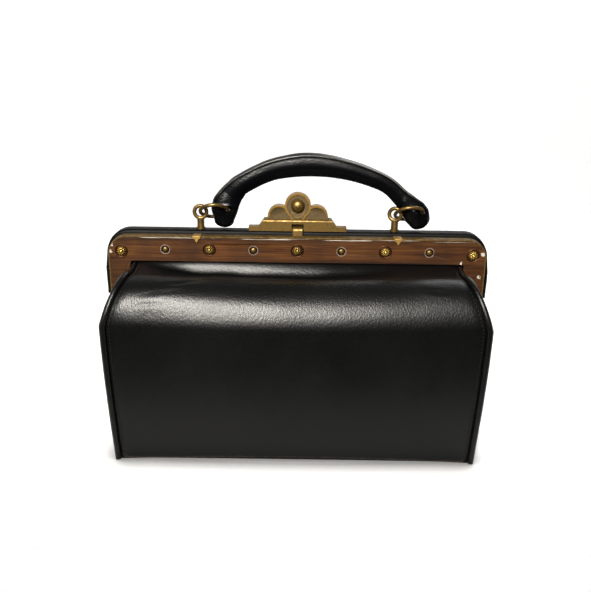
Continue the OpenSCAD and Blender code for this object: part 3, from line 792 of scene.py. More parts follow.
def tube(name: str, path: np.ndarray, section: np.ndarray, axis: Sequence[float], finish: Finish) -> Piece:
    """A solid swept along a path.

    Args:
        name: The piece's name.
        path: Points of its middle line in millimetres.
        section: For each path point, a ring of offsets across and along the axis.
        axis: Direction that the second offset follows as nearly as it can.
        finish: Its finish.

    Returns:
        The piece; its first points are the rings, in order.
    """
    count, sides, _ = section.shape
    run = unit_rows(np.gradient(path, axis=0))
    across = unit_rows(np.cross(np.asarray(axis, float), run))
    along = np.cross(run, across)
    rings = path[:, None] + section[..., :1] * across[:, None] + section[..., 1:] * along[:, None]
    near, far = lids(count, sides)
    faces = [(a, d, c, b) for a, b, c, d in skin(count, sides)] + [near, far[::-1]]
    return new_piece(name, rings.reshape(-1, 3), faces, finish, crisp=55.0)


def round_section(count: int, radius: float, sides: int = 12) -> np.ndarray:
    """The same circle of offsets for each point of a path.

    Args:
        count: How many points the path has.
        radius: The circle's radius.
        sides: How many offsets there are on it.

    Returns:
        One ring of offsets for each point.
    """
    turn = full_turn(sides)
    ring = radius * np.stack([np.cos(turn), np.sin(turn)], axis=-1)
    return np.repeat(ring[None], count, axis=0)


def inset(outline: np.ndarray, distance: float) -> np.ndarray:
    """Moves a closed outline inwards.

    Args:
        outline: Points that go round counter-clockwise, in the plane.
        distance: How far each point moves.

    Returns:
        The moved points.
    """
    before = unit_rows(outline - np.roll(outline, 1, 0))
    after = unit_rows(np.roll(outline, -1, 0) - outline)
    middle = before + after
    normal = unit_rows(np.stack([-middle[:, 1], middle[:, 0]], axis=-1))
    square = np.stack([-after[:, 1], after[:, 0]], axis=-1)
    stretch = np.clip(np.sum(normal * square, axis=-1, keepdims=True), 0.5, 1.0)
    return outline + normal * distance / stretch


def slab(
    name: str, outline: np.ndarray, y0: float, y1: float, edge: float, finish: Finish, back_edge: float
) -> Piece:
    """A plate that stands in the XZ plane, with rounded edges.

    Args:
        name: The piece's name.
        outline: X and Z of its outline, counter-clockwise seen from the front.
        y0: Its front face.
        y1: Its back face.
        edge: Radius of the front edge.
        finish: Its finish.
        back_edge: Radius of the back edge.

    Returns:
        The piece.
    """
    turns = np.linspace(0, math.pi / 2, 4)
    levels = [(edge * (1 - math.sin(a)), y0 + edge * (1 - math.cos(a))) for a in turns]
    levels += [(back_edge * (1 - math.sin(a)), y1 - back_edge * (1 - math.cos(a))) for a in turns[::-1]]
    verts = []
    for distance, y in levels:
        ring = inset(outline, distance) if distance > 0 else outline
        verts += [(x, y, z) for x, z in ring]
    faces = skin(len(levels), len(outline)) + lids(len(levels), len(outline))
    obj = new_piece(name, verts, faces, finish, crisp=35.0)
    with edited(obj.data) as shape:
        bmesh.ops.triangulate(shape, faces=[f for f in shape.faces if len(f.verts) > 4])
    return obj


def corner_arc(wide: float, top: float, radius: float) -> list[tuple[float, float]]:
    """X and Z of an opening's rounded right upper corner, from its side to its top."""
    turns = np.linspace(0, math.pi / 2, 9)
    return [(wide - radius + radius * math.cos(a), top - radius + radius * math.sin(a)) for a in turns]


def corner_plate(
    name: str, side: Side, outline: Sequence, span: Sequence[float], edge: float, finish: Finish
) -> Piece:
    """A plate in an upper corner of a frame's opening.

    Args:
        name: The piece's name without its side.
        side: Left or right.
        outline: X and Z of its outline, drawn on the right.
        span: Its front and its back face.
        edge: Radius of its edges.
        finish: Its finish.

    Returns:
        The piece, not yet riding on a body.
    """
    points = np.array(outline)
    if side is Side.LEFT:
        points = points[::-1] * np.array([-1.0, 1.0])
    return slab(f"{side.name.lower()}_{name}", points, *span, edge, finish, edge)


def refined(node: str, bevel: float, finish: Finish) -> Piece:
    """A copy of a solid with its seams closed, its flats joined and its edges eased.

    Args:
        node: The solid's name.
        bevel: Width of the eased edges.
        finish: Its finish.

    Returns:
        The piece, named after the solid.
    """
    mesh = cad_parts[node].data.copy()
    mesh.name = node + "_worn"
    with edited(mesh) as shape:
        bmesh.ops.remove_doubles(shape, verts=shape.verts, dist=0.002 * MM)
        bmesh.ops.dissolve_limit(shape, angle_limit=math.radians(1.0), verts=shape.verts, edges=shape.edges)
    mesh.materials.clear()
    mesh.materials.append(finish.material())
    smooth(mesh, crisp=32.0)
    obj = place_object(node + "_worn", mesh)
    eased = obj.modifiers.new("eased", "BEVEL")
    eased.width = bevel * MM
    eased.segments = 2
    eased.limit_method = "ANGLE"
    eased.angle_limit = math.radians(40.0)
    eased.use_clamp_overlap = True
    bake(obj)
    return obj


def bake(obj: Piece) -> None:
    """Turns an object with its modifiers into a plain mesh.

    Args:
        obj: The object; its modifiers are removed.
    """
    view = bpy.context.evaluated_depsgraph_get()
    made = bpy.data.meshes.new_from_object(obj.evaluated_get(view))
    made.name = obj.data.name
    obj.modifiers.clear()
    obj.data = made


def carve(obj: Piece, cutter: Piece) -> None:
    """Cuts one solid out of a piece and throws the cutter away.

    Args:
        obj: The piece.
        cutter: The solid to cut with.
    """
    cut = obj.modifiers.new("carve", "BOOLEAN")
    cut.object = cutter
    cut.operation = "DIFFERENCE"
    cut.solver = "EXACT"
    bake(obj)
    bpy.data.objects.remove(cutter)


def dress_node(node: str, finish: Finish) -> None:
    """Gives a solid whose shape is right its finish.

    Args:
        node: The solid's name.
        finish: Its finish.
    """
    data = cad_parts[node].data
    data.materials.clear()
    data.materials.append(finish.material())


def new_tree(name: str, inputs: Sequence[tuple[str, str]]) -> Tree:
    """Starts a geometry tree with named inputs.

    Args:
        name: The tree's name.
        inputs: Name and socket type of each input after the geometry.

    Returns:
        The tree, with its sockets and without nodes.
    """
    tree = bpy.data.node_groups.new(name, "GeometryNodeTree")
    tree.interface.new_socket("Geometry", in_out="INPUT", socket_type="NodeSocketGeometry")
    for label, kind in inputs:
        tree.interface.new_socket(label, in_out="INPUT", socket_type=kind)
    tree.interface.new_socket("Geometry", in_out="OUTPUT", socket_type="NodeSocketGeometry")
    return tree


def make_real(tree: Tree, copies: Socket, material: Socket) -> None:
    """Ends a geometry tree: turns its copies into plain mesh with a material.

    Args:
        tree: The tree.
        copies: The copies that it places.
        material: What they are made of.
    """
    real = add_node(tree, "GeometryNodeRealizeInstances", {"Geometry": copies}).outputs[0]
    dressed = add_node(tree, "GeometryNodeSetMaterial", {"Geometry": real, "Material": material}).outputs[0]
    add_node(tree, "NodeGroupOutput", {"Geometry": dressed})


def stitch_tree() -> Tree:
    """The tree that lays a row of stitches along a path.

    Returns:
        The tree, with inputs for pitch, length, thickness and thread.
    """
    sizes = [(label, "NodeSocketFloat") for label in ("Pitch", "Length", "Thickness")]
    tree = new_tree("stitches_on_path", sizes + [("Thread", "NodeSocketMaterial")])
    start = add_node(tree, "NodeGroupInput").outputs
    curve = add_node(tree, "GeometryNodeMeshToCurve", {"Mesh": start["Geometry"]}).outputs[0]
    spacing = {"Curve": curve, "Length": start["Pitch"]}
    spaced = add_node(tree, "GeometryNodeResampleCurve", spacing, mode="LENGTH")
    bead = add_node(tree, "GeometryNodeMeshUVSphere", {"Segments": 6, "Rings": 4, "Radius": 0.5})
    thread = start["Thickness"]
    size = add_node(tree, "ShaderNodeCombineXYZ", {"X": thread, "Y": thread, "Z": start["Length"]})
    run = add_node(tree, "GeometryNodeInputTangent")
    turn = add_node(tree, "FunctionNodeAlignRotationToVector", {"Vector": run.outputs[0]}, axis="Z")
    row = {"Points": spaced.outputs[0], "Instance": bead.outputs["Mesh"]}
    row |= {"Rotation": turn.outputs[0], "Scale": size.outputs[0]}
    make_real(tree, add_node(tree, "GeometryNodeInstanceOnPoints", row).outputs[0], start["Thread"])
    return tree


def fastener_tree() -> Tree:
    """The tree that puts a turned copy of one fastener on each point.

    Returns:
        The tree, with inputs for the fastener, the largest turn, the seed and the metal.
    """
    inputs = {"Fastener": "Object", "Turn": "Float", "Seed": "Int", "Metal": "Material"}
    tree = new_tree("fasteners_on_points", [(label, "NodeSocket" + kind) for label, kind in inputs.items()])
    start = add_node(tree, "NodeGroupInput").outputs
    pattern = {"Object": start["Fastener"]}
    shape = add_node(tree, "GeometryNodeObjectInfo", pattern, transform_space="ORIGINAL")
    chance = {2: 0.0, 3: start["Turn"], "Seed": start["Seed"]}
    turned = add_node(tree, "FunctionNodeRandomValue", chance, data_type="FLOAT")
    spin = add_node(tree, "ShaderNodeCombineXYZ", {"Y": turned.outputs[1]})
    row = {"Points": start["Geometry"], "Instance": shape.outputs["Geometry"], "Rotation": spin.outputs[0]}
    make_real(tree, add_node(tree, "GeometryNodeInstanceOnPoints", row).outputs[0], start["Metal"])
    return tree


def grown(name: str, paths: Sequence[np.ndarray], tree: Tree, values: dict) -> Piece:
    """Runs a geometry tree on paths, or on single points, and keeps the plain mesh.

    Args:
        name: The piece's name.
        paths: Points in millimetres; neighbours in one path are joined.
        tree: The geometry tree.
        values: Values for the tree's named inputs.

    Returns:
        The piece.
    """
    points, edges = [], []
    for path in paths:
        first = len(points)
        points += (np.asarray(path, float) * MM).tolist()
        edges += [(i, i + 1) for i in range(first, len(points) - 1)]
    mesh = bpy.data.meshes.new(name)
    mesh.from_pydata(points, edges, [])
    obj = place_object(name, mesh)
    repeat = obj.modifiers.new("repeat", "NODES")
    repeat.node_group = tree
    for item in tree.interface.items_tree:
        if item.in_out == "INPUT" and item.name in values:
            repeat[item.identifier] = values[item.name]
    bake(obj)
    smooth(obj.data)
    return obj


def mix(low: float, high: float, share: np.ndarray) -> np.ndarray:
    """A value part of the way from one number to another."""
    return low + (high - low) * share


@dataclass(frozen=True)
class Profile:
    """The leather's shape: t runs 0 to 1 up the wall, to 2 over the shoulder and to 3 at the frame."""

    base_w: float = 303.0
    body_w: float = 311.0
    shoulder_w: float = 281.0
    throat_w: float = 282.0
    base_d: float = 147.0
    body_d: float = 150.0
    shoulder_d: float = 88.0
    throat_d: float = 16.0
    wall_z: float = 0.7
    crest_h: float = 122.0
    shoulder_h: float = 157.0
    throat_h: float = 159.7
    valley: float = 2.0
    bow: float = 2.0
    slant: float = 0.75
    edge_in: float = 2.9
    fold_dip: float = 5.0
    end_in: float = 146.0

    def three_ways(
        self, t: np.ndarray, wall: float, crest: float, shoulder: float, throat: float, slant: float = 0.0
    ) -> np.ndarray:
        """A size that swells up the wall, rounds over the shoulder and narrows to the throat.

        Args:
            t: Places along the profile.
            wall: The size at the base.
            crest: The size at the fullest height.
            shoulder: The size on top of the shoulder.
            throat: The size under the frame.
            slant: How far the rounding is drawn out towards a straight slope.

        Returns:
            The size at each place.
        """
        quarter = math.pi / 2
        rising = mix(wall, crest, np.sin(quarter * np.clip(t, 0, 1)))
        turn = quarter * np.clip(t - 1, 0, 1)
        turning = mix(shoulder, crest, mix(np.cos(turn), 1 - np.sin(turn), slant))
        closing = mix(shoulder, throat, np.clip(t - 2, 0, 1))
        return np.where(t <= 1, rising, np.where(t <= 2, turning, closing))

    def half_width(self, t: np.ndarray) -> np.ndarray:
        """Half the width between the welts."""
        return self.three_ways(t, self.base_w, self.body_w, self.shoulder_w, self.throat_w, self.slant) / 2

    def half_depth(self, t: np.ndarray) -> np.ndarray:
        """Half the depth at the middle of the panels."""
        return self.three_ways(t, self.base_d, self.body_d, self.shoulder_d, self.throat_d) / 2

    def height(self, t: np.ndarray) -> np.ndarray:
        """Height above the floor.

        Args:
            t: Places along the profile.

        Returns:
            The height at each place.
        """
        last = np.clip(t - 2, 0, 1)
        rising = mix(self.wall_z, self.crest_h, np.clip(t, 0, 1))
        turning = mix(self.crest_h, self.shoulder_h, np.sin(math.pi / 2 * np.clip(t - 1, 0, 1)))
        closing = mix(self.shoulder_h, self.throat_h, last**2 * (3 - 2 * last))
        closing = closing - self.valley * np.sin(math.pi * last)
        return np.where(t <= 1, rising, np.where(t <= 2, turning, closing))

    def bowing(self, t: np.ndarray) -> np.ndarray:
        """How far the panel's side edges fall back from its middle."""
        return self.bow * np.where(t <= 1, 1.0, (3 - t) / 2)

    def panel(self, u: np.ndarray, t: np.ndarray) -> np.ndarray:
        """Points of the front panel's outer face; u runs -1 to 1 from the left to the right."""
        x = u * (self.half_width(t) - self.edge_in)
        return np.stack([x, -(self.half_depth(t) - self.bowing(t) * u * u), self.height(t)], axis=-1)

    def welt(self, t: np.ndarray) -> np.ndarray:
        """Points of the front left welt's middle line."""
        lower = np.clip(t - 2, 0, 1) * self.edge_in
        return np.stack(
            [-self.half_width(t), -(self.half_depth(t) - self.bowing(t)), self.height(t) - lower], axis=-1
        )

    def end(self, share: np.ndarray, t: np.ndarray) -> np.ndarray:
        """The left end's outer face.

        Args:
            share: Places across it, -1 to 1 from the front to the rear.
            t: Places along the profile.

        Returns:
            Its points.
        """
        tiny = 0.01
        run = unit_rows(self.welt(np.minimum(t + tiny, 3.0)) - self.welt(np.maximum(t - tiny, 0.0)))
        side = unit_rows(np.stack([np.zeros_like(t), run[..., 2], -run[..., 1]], axis=-1))
        edge = self.welt(t) + self.edge_in * side
        hollow = 1 - share**4
        pinch = np.maximum(0, -edge[..., 0] - self.end_in) * np.sin(math.pi / 2 * np.clip(t, 0, 1))
        dip = self.fold_dip * np.clip(t - 1, 0, 1)
        return np.stack(
            [edge[..., 0] + pinch * hollow, -share * edge[..., 1], edge[..., 2] - dip * hollow], axis=-1
        )


@dataclass
class LeatherBody:
    """The leather shell: front and rear panels, folded ends, base and welts."""

    profile: Profile = Profile()
    leather_t: float = 2.2
    welt_r: float = 2.6
    base_inset: float = 2.6
    rows: int = 116
    columns: int = 105
    end_grid: tuple[int, int] = (44, 49)
    fold_grid: tuple[int, int] = (34, 25)
    welt_steps: int = 120
    front_seed: float = 3.1
    rear_seed: float = 11.7
    foot_wear: float = 0.7
    corner_wear: float = 0.5
    edge_wear: float = 0.35
    seam_pull: float = 0.9
    seam_calm: float = 10.0
    swell: Waves = Waves(0.9, 95.0)
    ripple: Waves = Waves(0.3, 34.0)
    pulled_flat: float = 0.85
    facet: float = 0.7
    facet_from: float = 0.98
    facet_run: float = 0.56
    facet_x: float = 60.0
    tuck: float = 7.4
    tuck_x: float = -30.0
    tuck_w: float = 95.0
    tuck_t: float = 2.86
    tuck_drift: float = 0.14
    tuck_from: float = 1.8
    tuck_blur: float = 0.06
    tuck_ends: float = 1.5
    drift_x: float = -70.0
    drift_run: float = 100.0
    uneven: Waves = Waves(1.6, 22.0)
    sag: float = 4.5
    sag_x: float = 20.0
    sag_w: float = 130.0
    sag_from: float = 0.55
    sag_run: float = 1.9
    lift: float = 4.0
    lift_to: float = 0.4
    dense_from: float = 2.6
    base_corner: float = 5.0
    base_flat: float = 60.0
    base_gap: float = 0.2
    pucker: Waves = Waves(0.35, 9.0)
    slack: Waves = Waves(0.7, 30.0)
    fold_tuck: float = 0.9
    strip_tuck: float = 1.44
    fold_lap: float = 1.0
    welt_sides: int = 14
    welt_bumps: Waves = Waves(0.05, 11.0)
    welt_wear_and_highlight: float = 0.75
    seam_in: float = 2.4
    stitch_rise: float = 0.1
    stitch_pitch: float = 3.2
    stitch_length: float = 2.2
    stitch_thickness: float = 0.7
    crease_scale: float = 38.0
    crease_sway: Waves = Waves(1.5, 13.0)
    crease_w: float = 1.3
    curl_y: float = 68.8
    seam_reach: float = 3.0
    hinge_y: float = 8.0
    end_top: float = 0.94
    fold_low: float = 0.86
    still: tuple[float, float, float] = (0.0, -60.0, 118.0)
    carried: tuple[float, float, float] = (0.0, -20.0, 158.0)
    creases: tuple[tuple[float, float, float, float, float], ...] = (
        (-118.0, 1.62, -72.0, 1.86, 0.45), (-126.0, 1.50, -92.0, 1.60, 0.16),
        (-104.0, 1.98, -58.0, 2.10, 0.40), (-90.0, 2.28, -48.0, 2.36, 0.35),
        (-132.0, 1.32, -104.0, 1.40, 0.30), (96.0, 1.72, 128.0, 1.58, 0.30),
        (60.0, 2.30, 104.0, 2.22, 0.25), (-20.0, 2.42, 34.0, 2.46, 0.25),
    )

    def relief(self, points: np.ndarray, u: np.ndarray, t: np.ndarray, seed: float) -> np.ndarray:
        """How far the leather sinks in at each point of a panel.

        Args:
            points: Points of the smooth panel.
            u: Places across it.
            t: Places along the profile.
            seed: Shift that makes the two panels differ.

        Returns:
            Depths in millimetres, less than zero where it stands out.
        """
        soft = self.swell.at(points, seed) + self.ripple.at(points, seed + 7.0)
        depth = soft * np.clip(t, 0.15, 1.0) * (1 - self.pulled_flat * np.clip(t - 2, 0, 1))
        flat = np.sin(math.pi * np.clip((t - self.facet_from) / self.facet_run, 0, 1)) ** 2
        depth = depth + self.facet * flat * (0.55 + 0.45 * np.clip(-points[..., 0] / self.facet_x, -1, 1))
        edge = (1 - np.abs(u)) * self.profile.half_width(t)
        depth = depth * (1 - bell(edge, 0.0, self.seam_calm))
        depth = depth + self.seam_pull * bell(edge, 0.0, self.seam_reach)
        for x0, t0, x1, t1, deep in self.creases:
            start = np.array([x0, t0 * self.crease_scale])
            way = np.array([x1, t1 * self.crease_scale]) - start
            upward = t * self.crease_scale + self.crease_sway.at(points, seed + x0)
            here = np.stack([points[..., 0], upward], axis=-1) - start
            share = np.clip(here @ way / (way @ way), 0, 1)
            away = np.linalg.norm(here - share[..., None] * way, axis=-1)
            fade = np.sin(math.pi * np.clip(share, 0.02, 0.98))
            depth = depth + deep * fade * (bell(away, 0.0, self.crease_w) - 0.6 * bell(away, 3.0, 2.0))
        return depth

    def panel(self, face: Face) -> Piece:
        """One large panel, from the base up over the shoulder and under the frame.

        Args:
            face: Front or rear.

        Returns:
            The panel, not yet riding on a body.
        """
        coarse = np.linspace(0, self.dense_from, self.rows, endpoint=False)
        steps = np.concatenate([coarse, np.linspace(self.dense_from, 3, self.rows // 4)])
        t, u = np.meshgrid(steps, np.linspace(-1, 1, self.columns), indexing="ij")
        smooth_face = self.profile.panel(u, t)
        inward = unit_rows(np.cross(np.gradient(smooth_face, axis=0), np.gradient(smooth_face, axis=1)))
        seed = self.front_seed if face is Face.FRONT else self.rear_seed
        grid = smooth_face + self.relief(smooth_face, u, t, seed)[..., None] * inward
        droop = self.sag * (1 - u**2) ** 1.5 * bell(smooth_face[..., 0], self.sag_x, self.sag_w)
        grid[..., 2] -= droop * np.sin(math.pi * np.clip((t - self.sag_from) / self.sag_run, 0, 1)) ** 2
        grid[..., 2] += self.lift * (1 - u**2) * np.clip(1 - t / self.lift_to, 0, 1) ** 2
        valley = np.zeros_like(t)
        blur = np.linspace(-self.tuck_blur, self.tuck_blur, 9)
        drift = np.clip((smooth_face[..., 0] - self.drift_x) / self.drift_run, 0, 1)
        lowest = self.tuck_t - self.tuck_drift * drift
        for shift in blur:
            falling = np.clip((t + shift - self.tuck_from) / (lowest - self.tuck_from), 0, 1)
            climbing = np.clip((3 - t - shift) / (3 - lowest), 0, 1)
            valley += falling**1.2 * climbing**1.5 / len(blur)
        along = ((smooth_face[..., 0] - self.tuck_x) / self.tuck_w) ** 2
        middle = self.tuck + self.uneven.at(smooth_face, seed + 3.0)
        deepest = self.tuck_ends + middle * bell(along, 0.0, 1.0)
        grid[..., 2] -= valley * (1 - u**10) * deepest
        if face is Face.REAR:
            grid = grid[:, ::-1] * np.array([1.0, -1.0, 1.0])
        obj = sheet(f"{face.name.lower()}_leather", grid, self.leather_t, CALF)
        foot = self.foot_wear * bell(t, 0.0, 0.016) + self.corner_wear * bell(t, 0.0, 0.05) * np.abs(u) ** 12
        sides = self.edge_wear * bell((1 - np.abs(u)) * 150, 0.0, 1.2)
        worn = np.maximum(foot, sides).ravel()
        paint(obj, np.concatenate([worn, np.zeros_like(worn)]))
        return obj

    def base(self) -> Piece:
        """The leather under the base, whose long edges curl up in the middle as the panels do.

        Returns:
            The base, not yet riding on a body.
        """
        (x0, y0, z0), (x1, y1, z1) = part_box("base_panel")
        half_x = (x1 - x0) / 2 / MM - self.base_inset
        half_y = (y1 - y0) / 2 / MM - self.base_inset
        corner = self.base_corner
        rim = np.linspace(self.curl_y, half_y, 8)
        across = np.concatenate([-rim[::-1], np.linspace(-self.base_flat, self.base_flat, 9), rim])
        u, y = np.meshgrid(np.linspace(-1, 1, 61), across, indexing="ij")
        past = np.clip(np.abs(y) - half_y + corner, 0, corner)
        x = u * (half_x - corner + np.sqrt(corner**2 - past**2))
        curl = np.clip((np.abs(y) - self.curl_y) / (half_y - self.curl_y), 0, 1)
        grid = np.stack([x, y, z0 / MM + self.lift * (1 - u**2) * curl**1.5], axis=-1)
        return sheet("base_leather", grid, (z1 - z0) / MM - self.base_gap, SIDE_CALF)

    def end_piece(self, name: str, side: Side, grid: np.ndarray) -> Piece:
        """One piece of an end, drawn on the left and mirrored for the right.

        Args:
            name: The piece's name without its side.
            side: Left or right.
            grid: Points of its outer face, on the left.

        Returns:
            The piece, not yet riding on a body.
        """
        moved = grid.copy()
        moved[..., 0] += self.pucker.at(grid, 2.0 + side.value) + self.slack.at(grid, 5.0 + side.value)
        if side is Side.RIGHT:
            moved = moved[:, ::-1] * np.array([-1.0, 1.0, 1.0])
        return sheet(f"{side.name.lower()}_{name}", moved, self.leather_t, SIDE_CALF)

    def ends(self, side: Side) -> None:
        """Builds one end: the low part, the two folds over it and the strip between the legs.

        Args:
            side: Left or right.
        """
        label = side.name.lower()
        rows, columns = self.end_grid
        t, share = np.meshgrid(
            np.linspace(0, self.end_top, rows), np.linspace(1, -1, columns), indexing="ij"
        )
        low = self.end_piece("end", side, self.profile.end(share, t))
        settle(low, SIDE_CALF, Rider.BAG, f"{label}_gusset")
        tucked = np.array([self.fold_tuck, 0.0, 0.0])
        rows, columns = self.fold_grid
        t, k = np.meshgrid(np.linspace(self.fold_low, 2, rows), np.linspace(0, 1, columns), indexing="ij")
        reach = np.abs(self.profile.end(np.ones_like(t), t)[..., 1])
        near = (self.hinge_y - self.fold_lap) / reach
        rear = self.end_piece("rear_fold", side, self.profile.end(mix(1.0, near, k), t) + tucked)
        settle(rear, SIDE_CALF, Rider.BAG)
        front = self.end_piece("front_fold", side, self.profile.end(mix(-near, -1.0, k), t) + tucked)
        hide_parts(f"{label}_gusset_fold")
        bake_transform(front)
        strip = self.profile.end(mix(1.0, -1.0, k) * self.hinge_y / reach, t)
        middle = self.end_piece("end_strip", side, strip + np.array([self.strip_tuck, 0.0, 0.0]))
        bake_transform(middle)

    def welts(self, face: Face) -> None:
        """Builds the two piped welts of one panel and the stitches beside them.

        Args:
            face: Front or rear.
        """
        t = np.linspace(0, 3, self.welt_steps)
        flip = np.array([1.0, -face.value, 1.0])
        seam_u = 1 - self.seam_in / self.profile.half_width(t)
        sewing = {
            "Pitch": self.stitch_pitch * MM, "Length": self.stitch_length * MM,
            "Thickness": self.stitch_thickness * MM, "Thread": THREAD.material(),
        }
        for side in Side:
            mirror = flip * np.array([-side.value, 1.0, 1.0])
            path = self.profile.welt(t) * mirror
            bumps = self.welt_bumps.at(path, 4.0 + side.value)
            section = round_section(len(t), self.welt_r, self.welt_sides) * (1 + bumps)[:, None, None]
            name = f"{face.name.lower()}_{side.name.lower()}_welt"
            welt = tube(name, path, section, (1.0, 0.0, 0.0), PIPING)
            at = np.array([v.co for v in welt.data.vertices]) / MM
            out = unit_rows(at - np.repeat(path, self.welt_sides, axis=0))
            # The piping's outer ridge is painted paler: partly rubbed wear, partly a painted highlight line
            # along it.
            ridge = np.clip(out @ unit_rows(np.array([side.value * 0.75, face.value * 0.75, 0.25])), 0, 1)
            paint(welt, self.welt_wear_and_highlight * ridge**6)
            seam = self.profile.panel(-seam_u, t) * mirror
            seam = seam + np.array([0.0, face.value * self.stitch_rise, 0.0])
            stitches = grown(name + "_stitches", [seam[4:-14]], stitch_tree(), sewing)
            for piece, finish in ((welt, PIPING), (stitches, THREAD)):
                if face is Face.FRONT:
                    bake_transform(piece)
                else:
                    settle(piece, finish, Rider.BAG)
            if face is Face.FRONT and side is Side.LEFT:
                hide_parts("body_welts", "shoulder_welts")

    def build(self) -> None:
        """Builds and dresses the whole leather shell."""
        front = self.panel(Face.FRONT)
        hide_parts("front_panel", "front_shoulder")
        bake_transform(front)
        settle(self.panel(Face.REAR), CALF, Rider.BAG, "rear_panel")
        for side in Side:
            self.ends(side)
        for face in Face:
            self.welts(face)
        settle(self.base(), SIDE_CALF, Rider.BAG, "base_panel")
        dress_node("base_board", BOARD)


def arch_outline(
    width: float, low: float, top: float, corner: float, inside: Sequence[float], pitch: float = 3.0
) -> np.ndarray:
    """The outline of an inverted U, as X and Z, counter-clockwise seen from the front.

    Args:
        width: Width over the legs.
        low: Height of the legs' ends.
        top: Height of the top edge.
        corner: Outer corner radius.
        inside: Width, top and corner radius of the opening.
        pitch: Least distance between points of the straight runs.

    Returns:
        Points of the outline.
    """
    half, inner, inner_top, inner_r = width / 2, inside[0] / 2, inside[1], inside[2]

    def arc(x: float, z: float, radius: float, start: float, stop: float) -> list[tuple[float, float]]:
        """Points of a quarter turn between two angles in degrees."""
        turns = np.radians(np.linspace(start, stop, 13))
        return [(x + radius * math.cos(a), z + radius * math.sin(a)) for a in turns]

    stretches = [
        [(inner, low)],
        [(half, low)],
        arc(half - corner, top - corner, corner, 0, 90),
        arc(corner - half, top - corner, corner, 90, 180),
        [(-half, low)],
        [(-inner, low)],
        arc(inner_r - inner, inner_top - inner_r, inner_r, 180, 90),
        arc(inner - inner_r, inner_top - inner_r, inner_r, 90, 0),
        [(inner, low)],
    ]
    points = []
    for here, after in zip(stretches, stretches[1:]):
        points += here
        start, stop = np.array(here[-1]), np.array(after[0])
        count = max(1, int(np.linalg.norm(stop - start) / pitch))
        points += [start + (stop - start) * k / count for k in range(1, count)]
    return np.array(points)


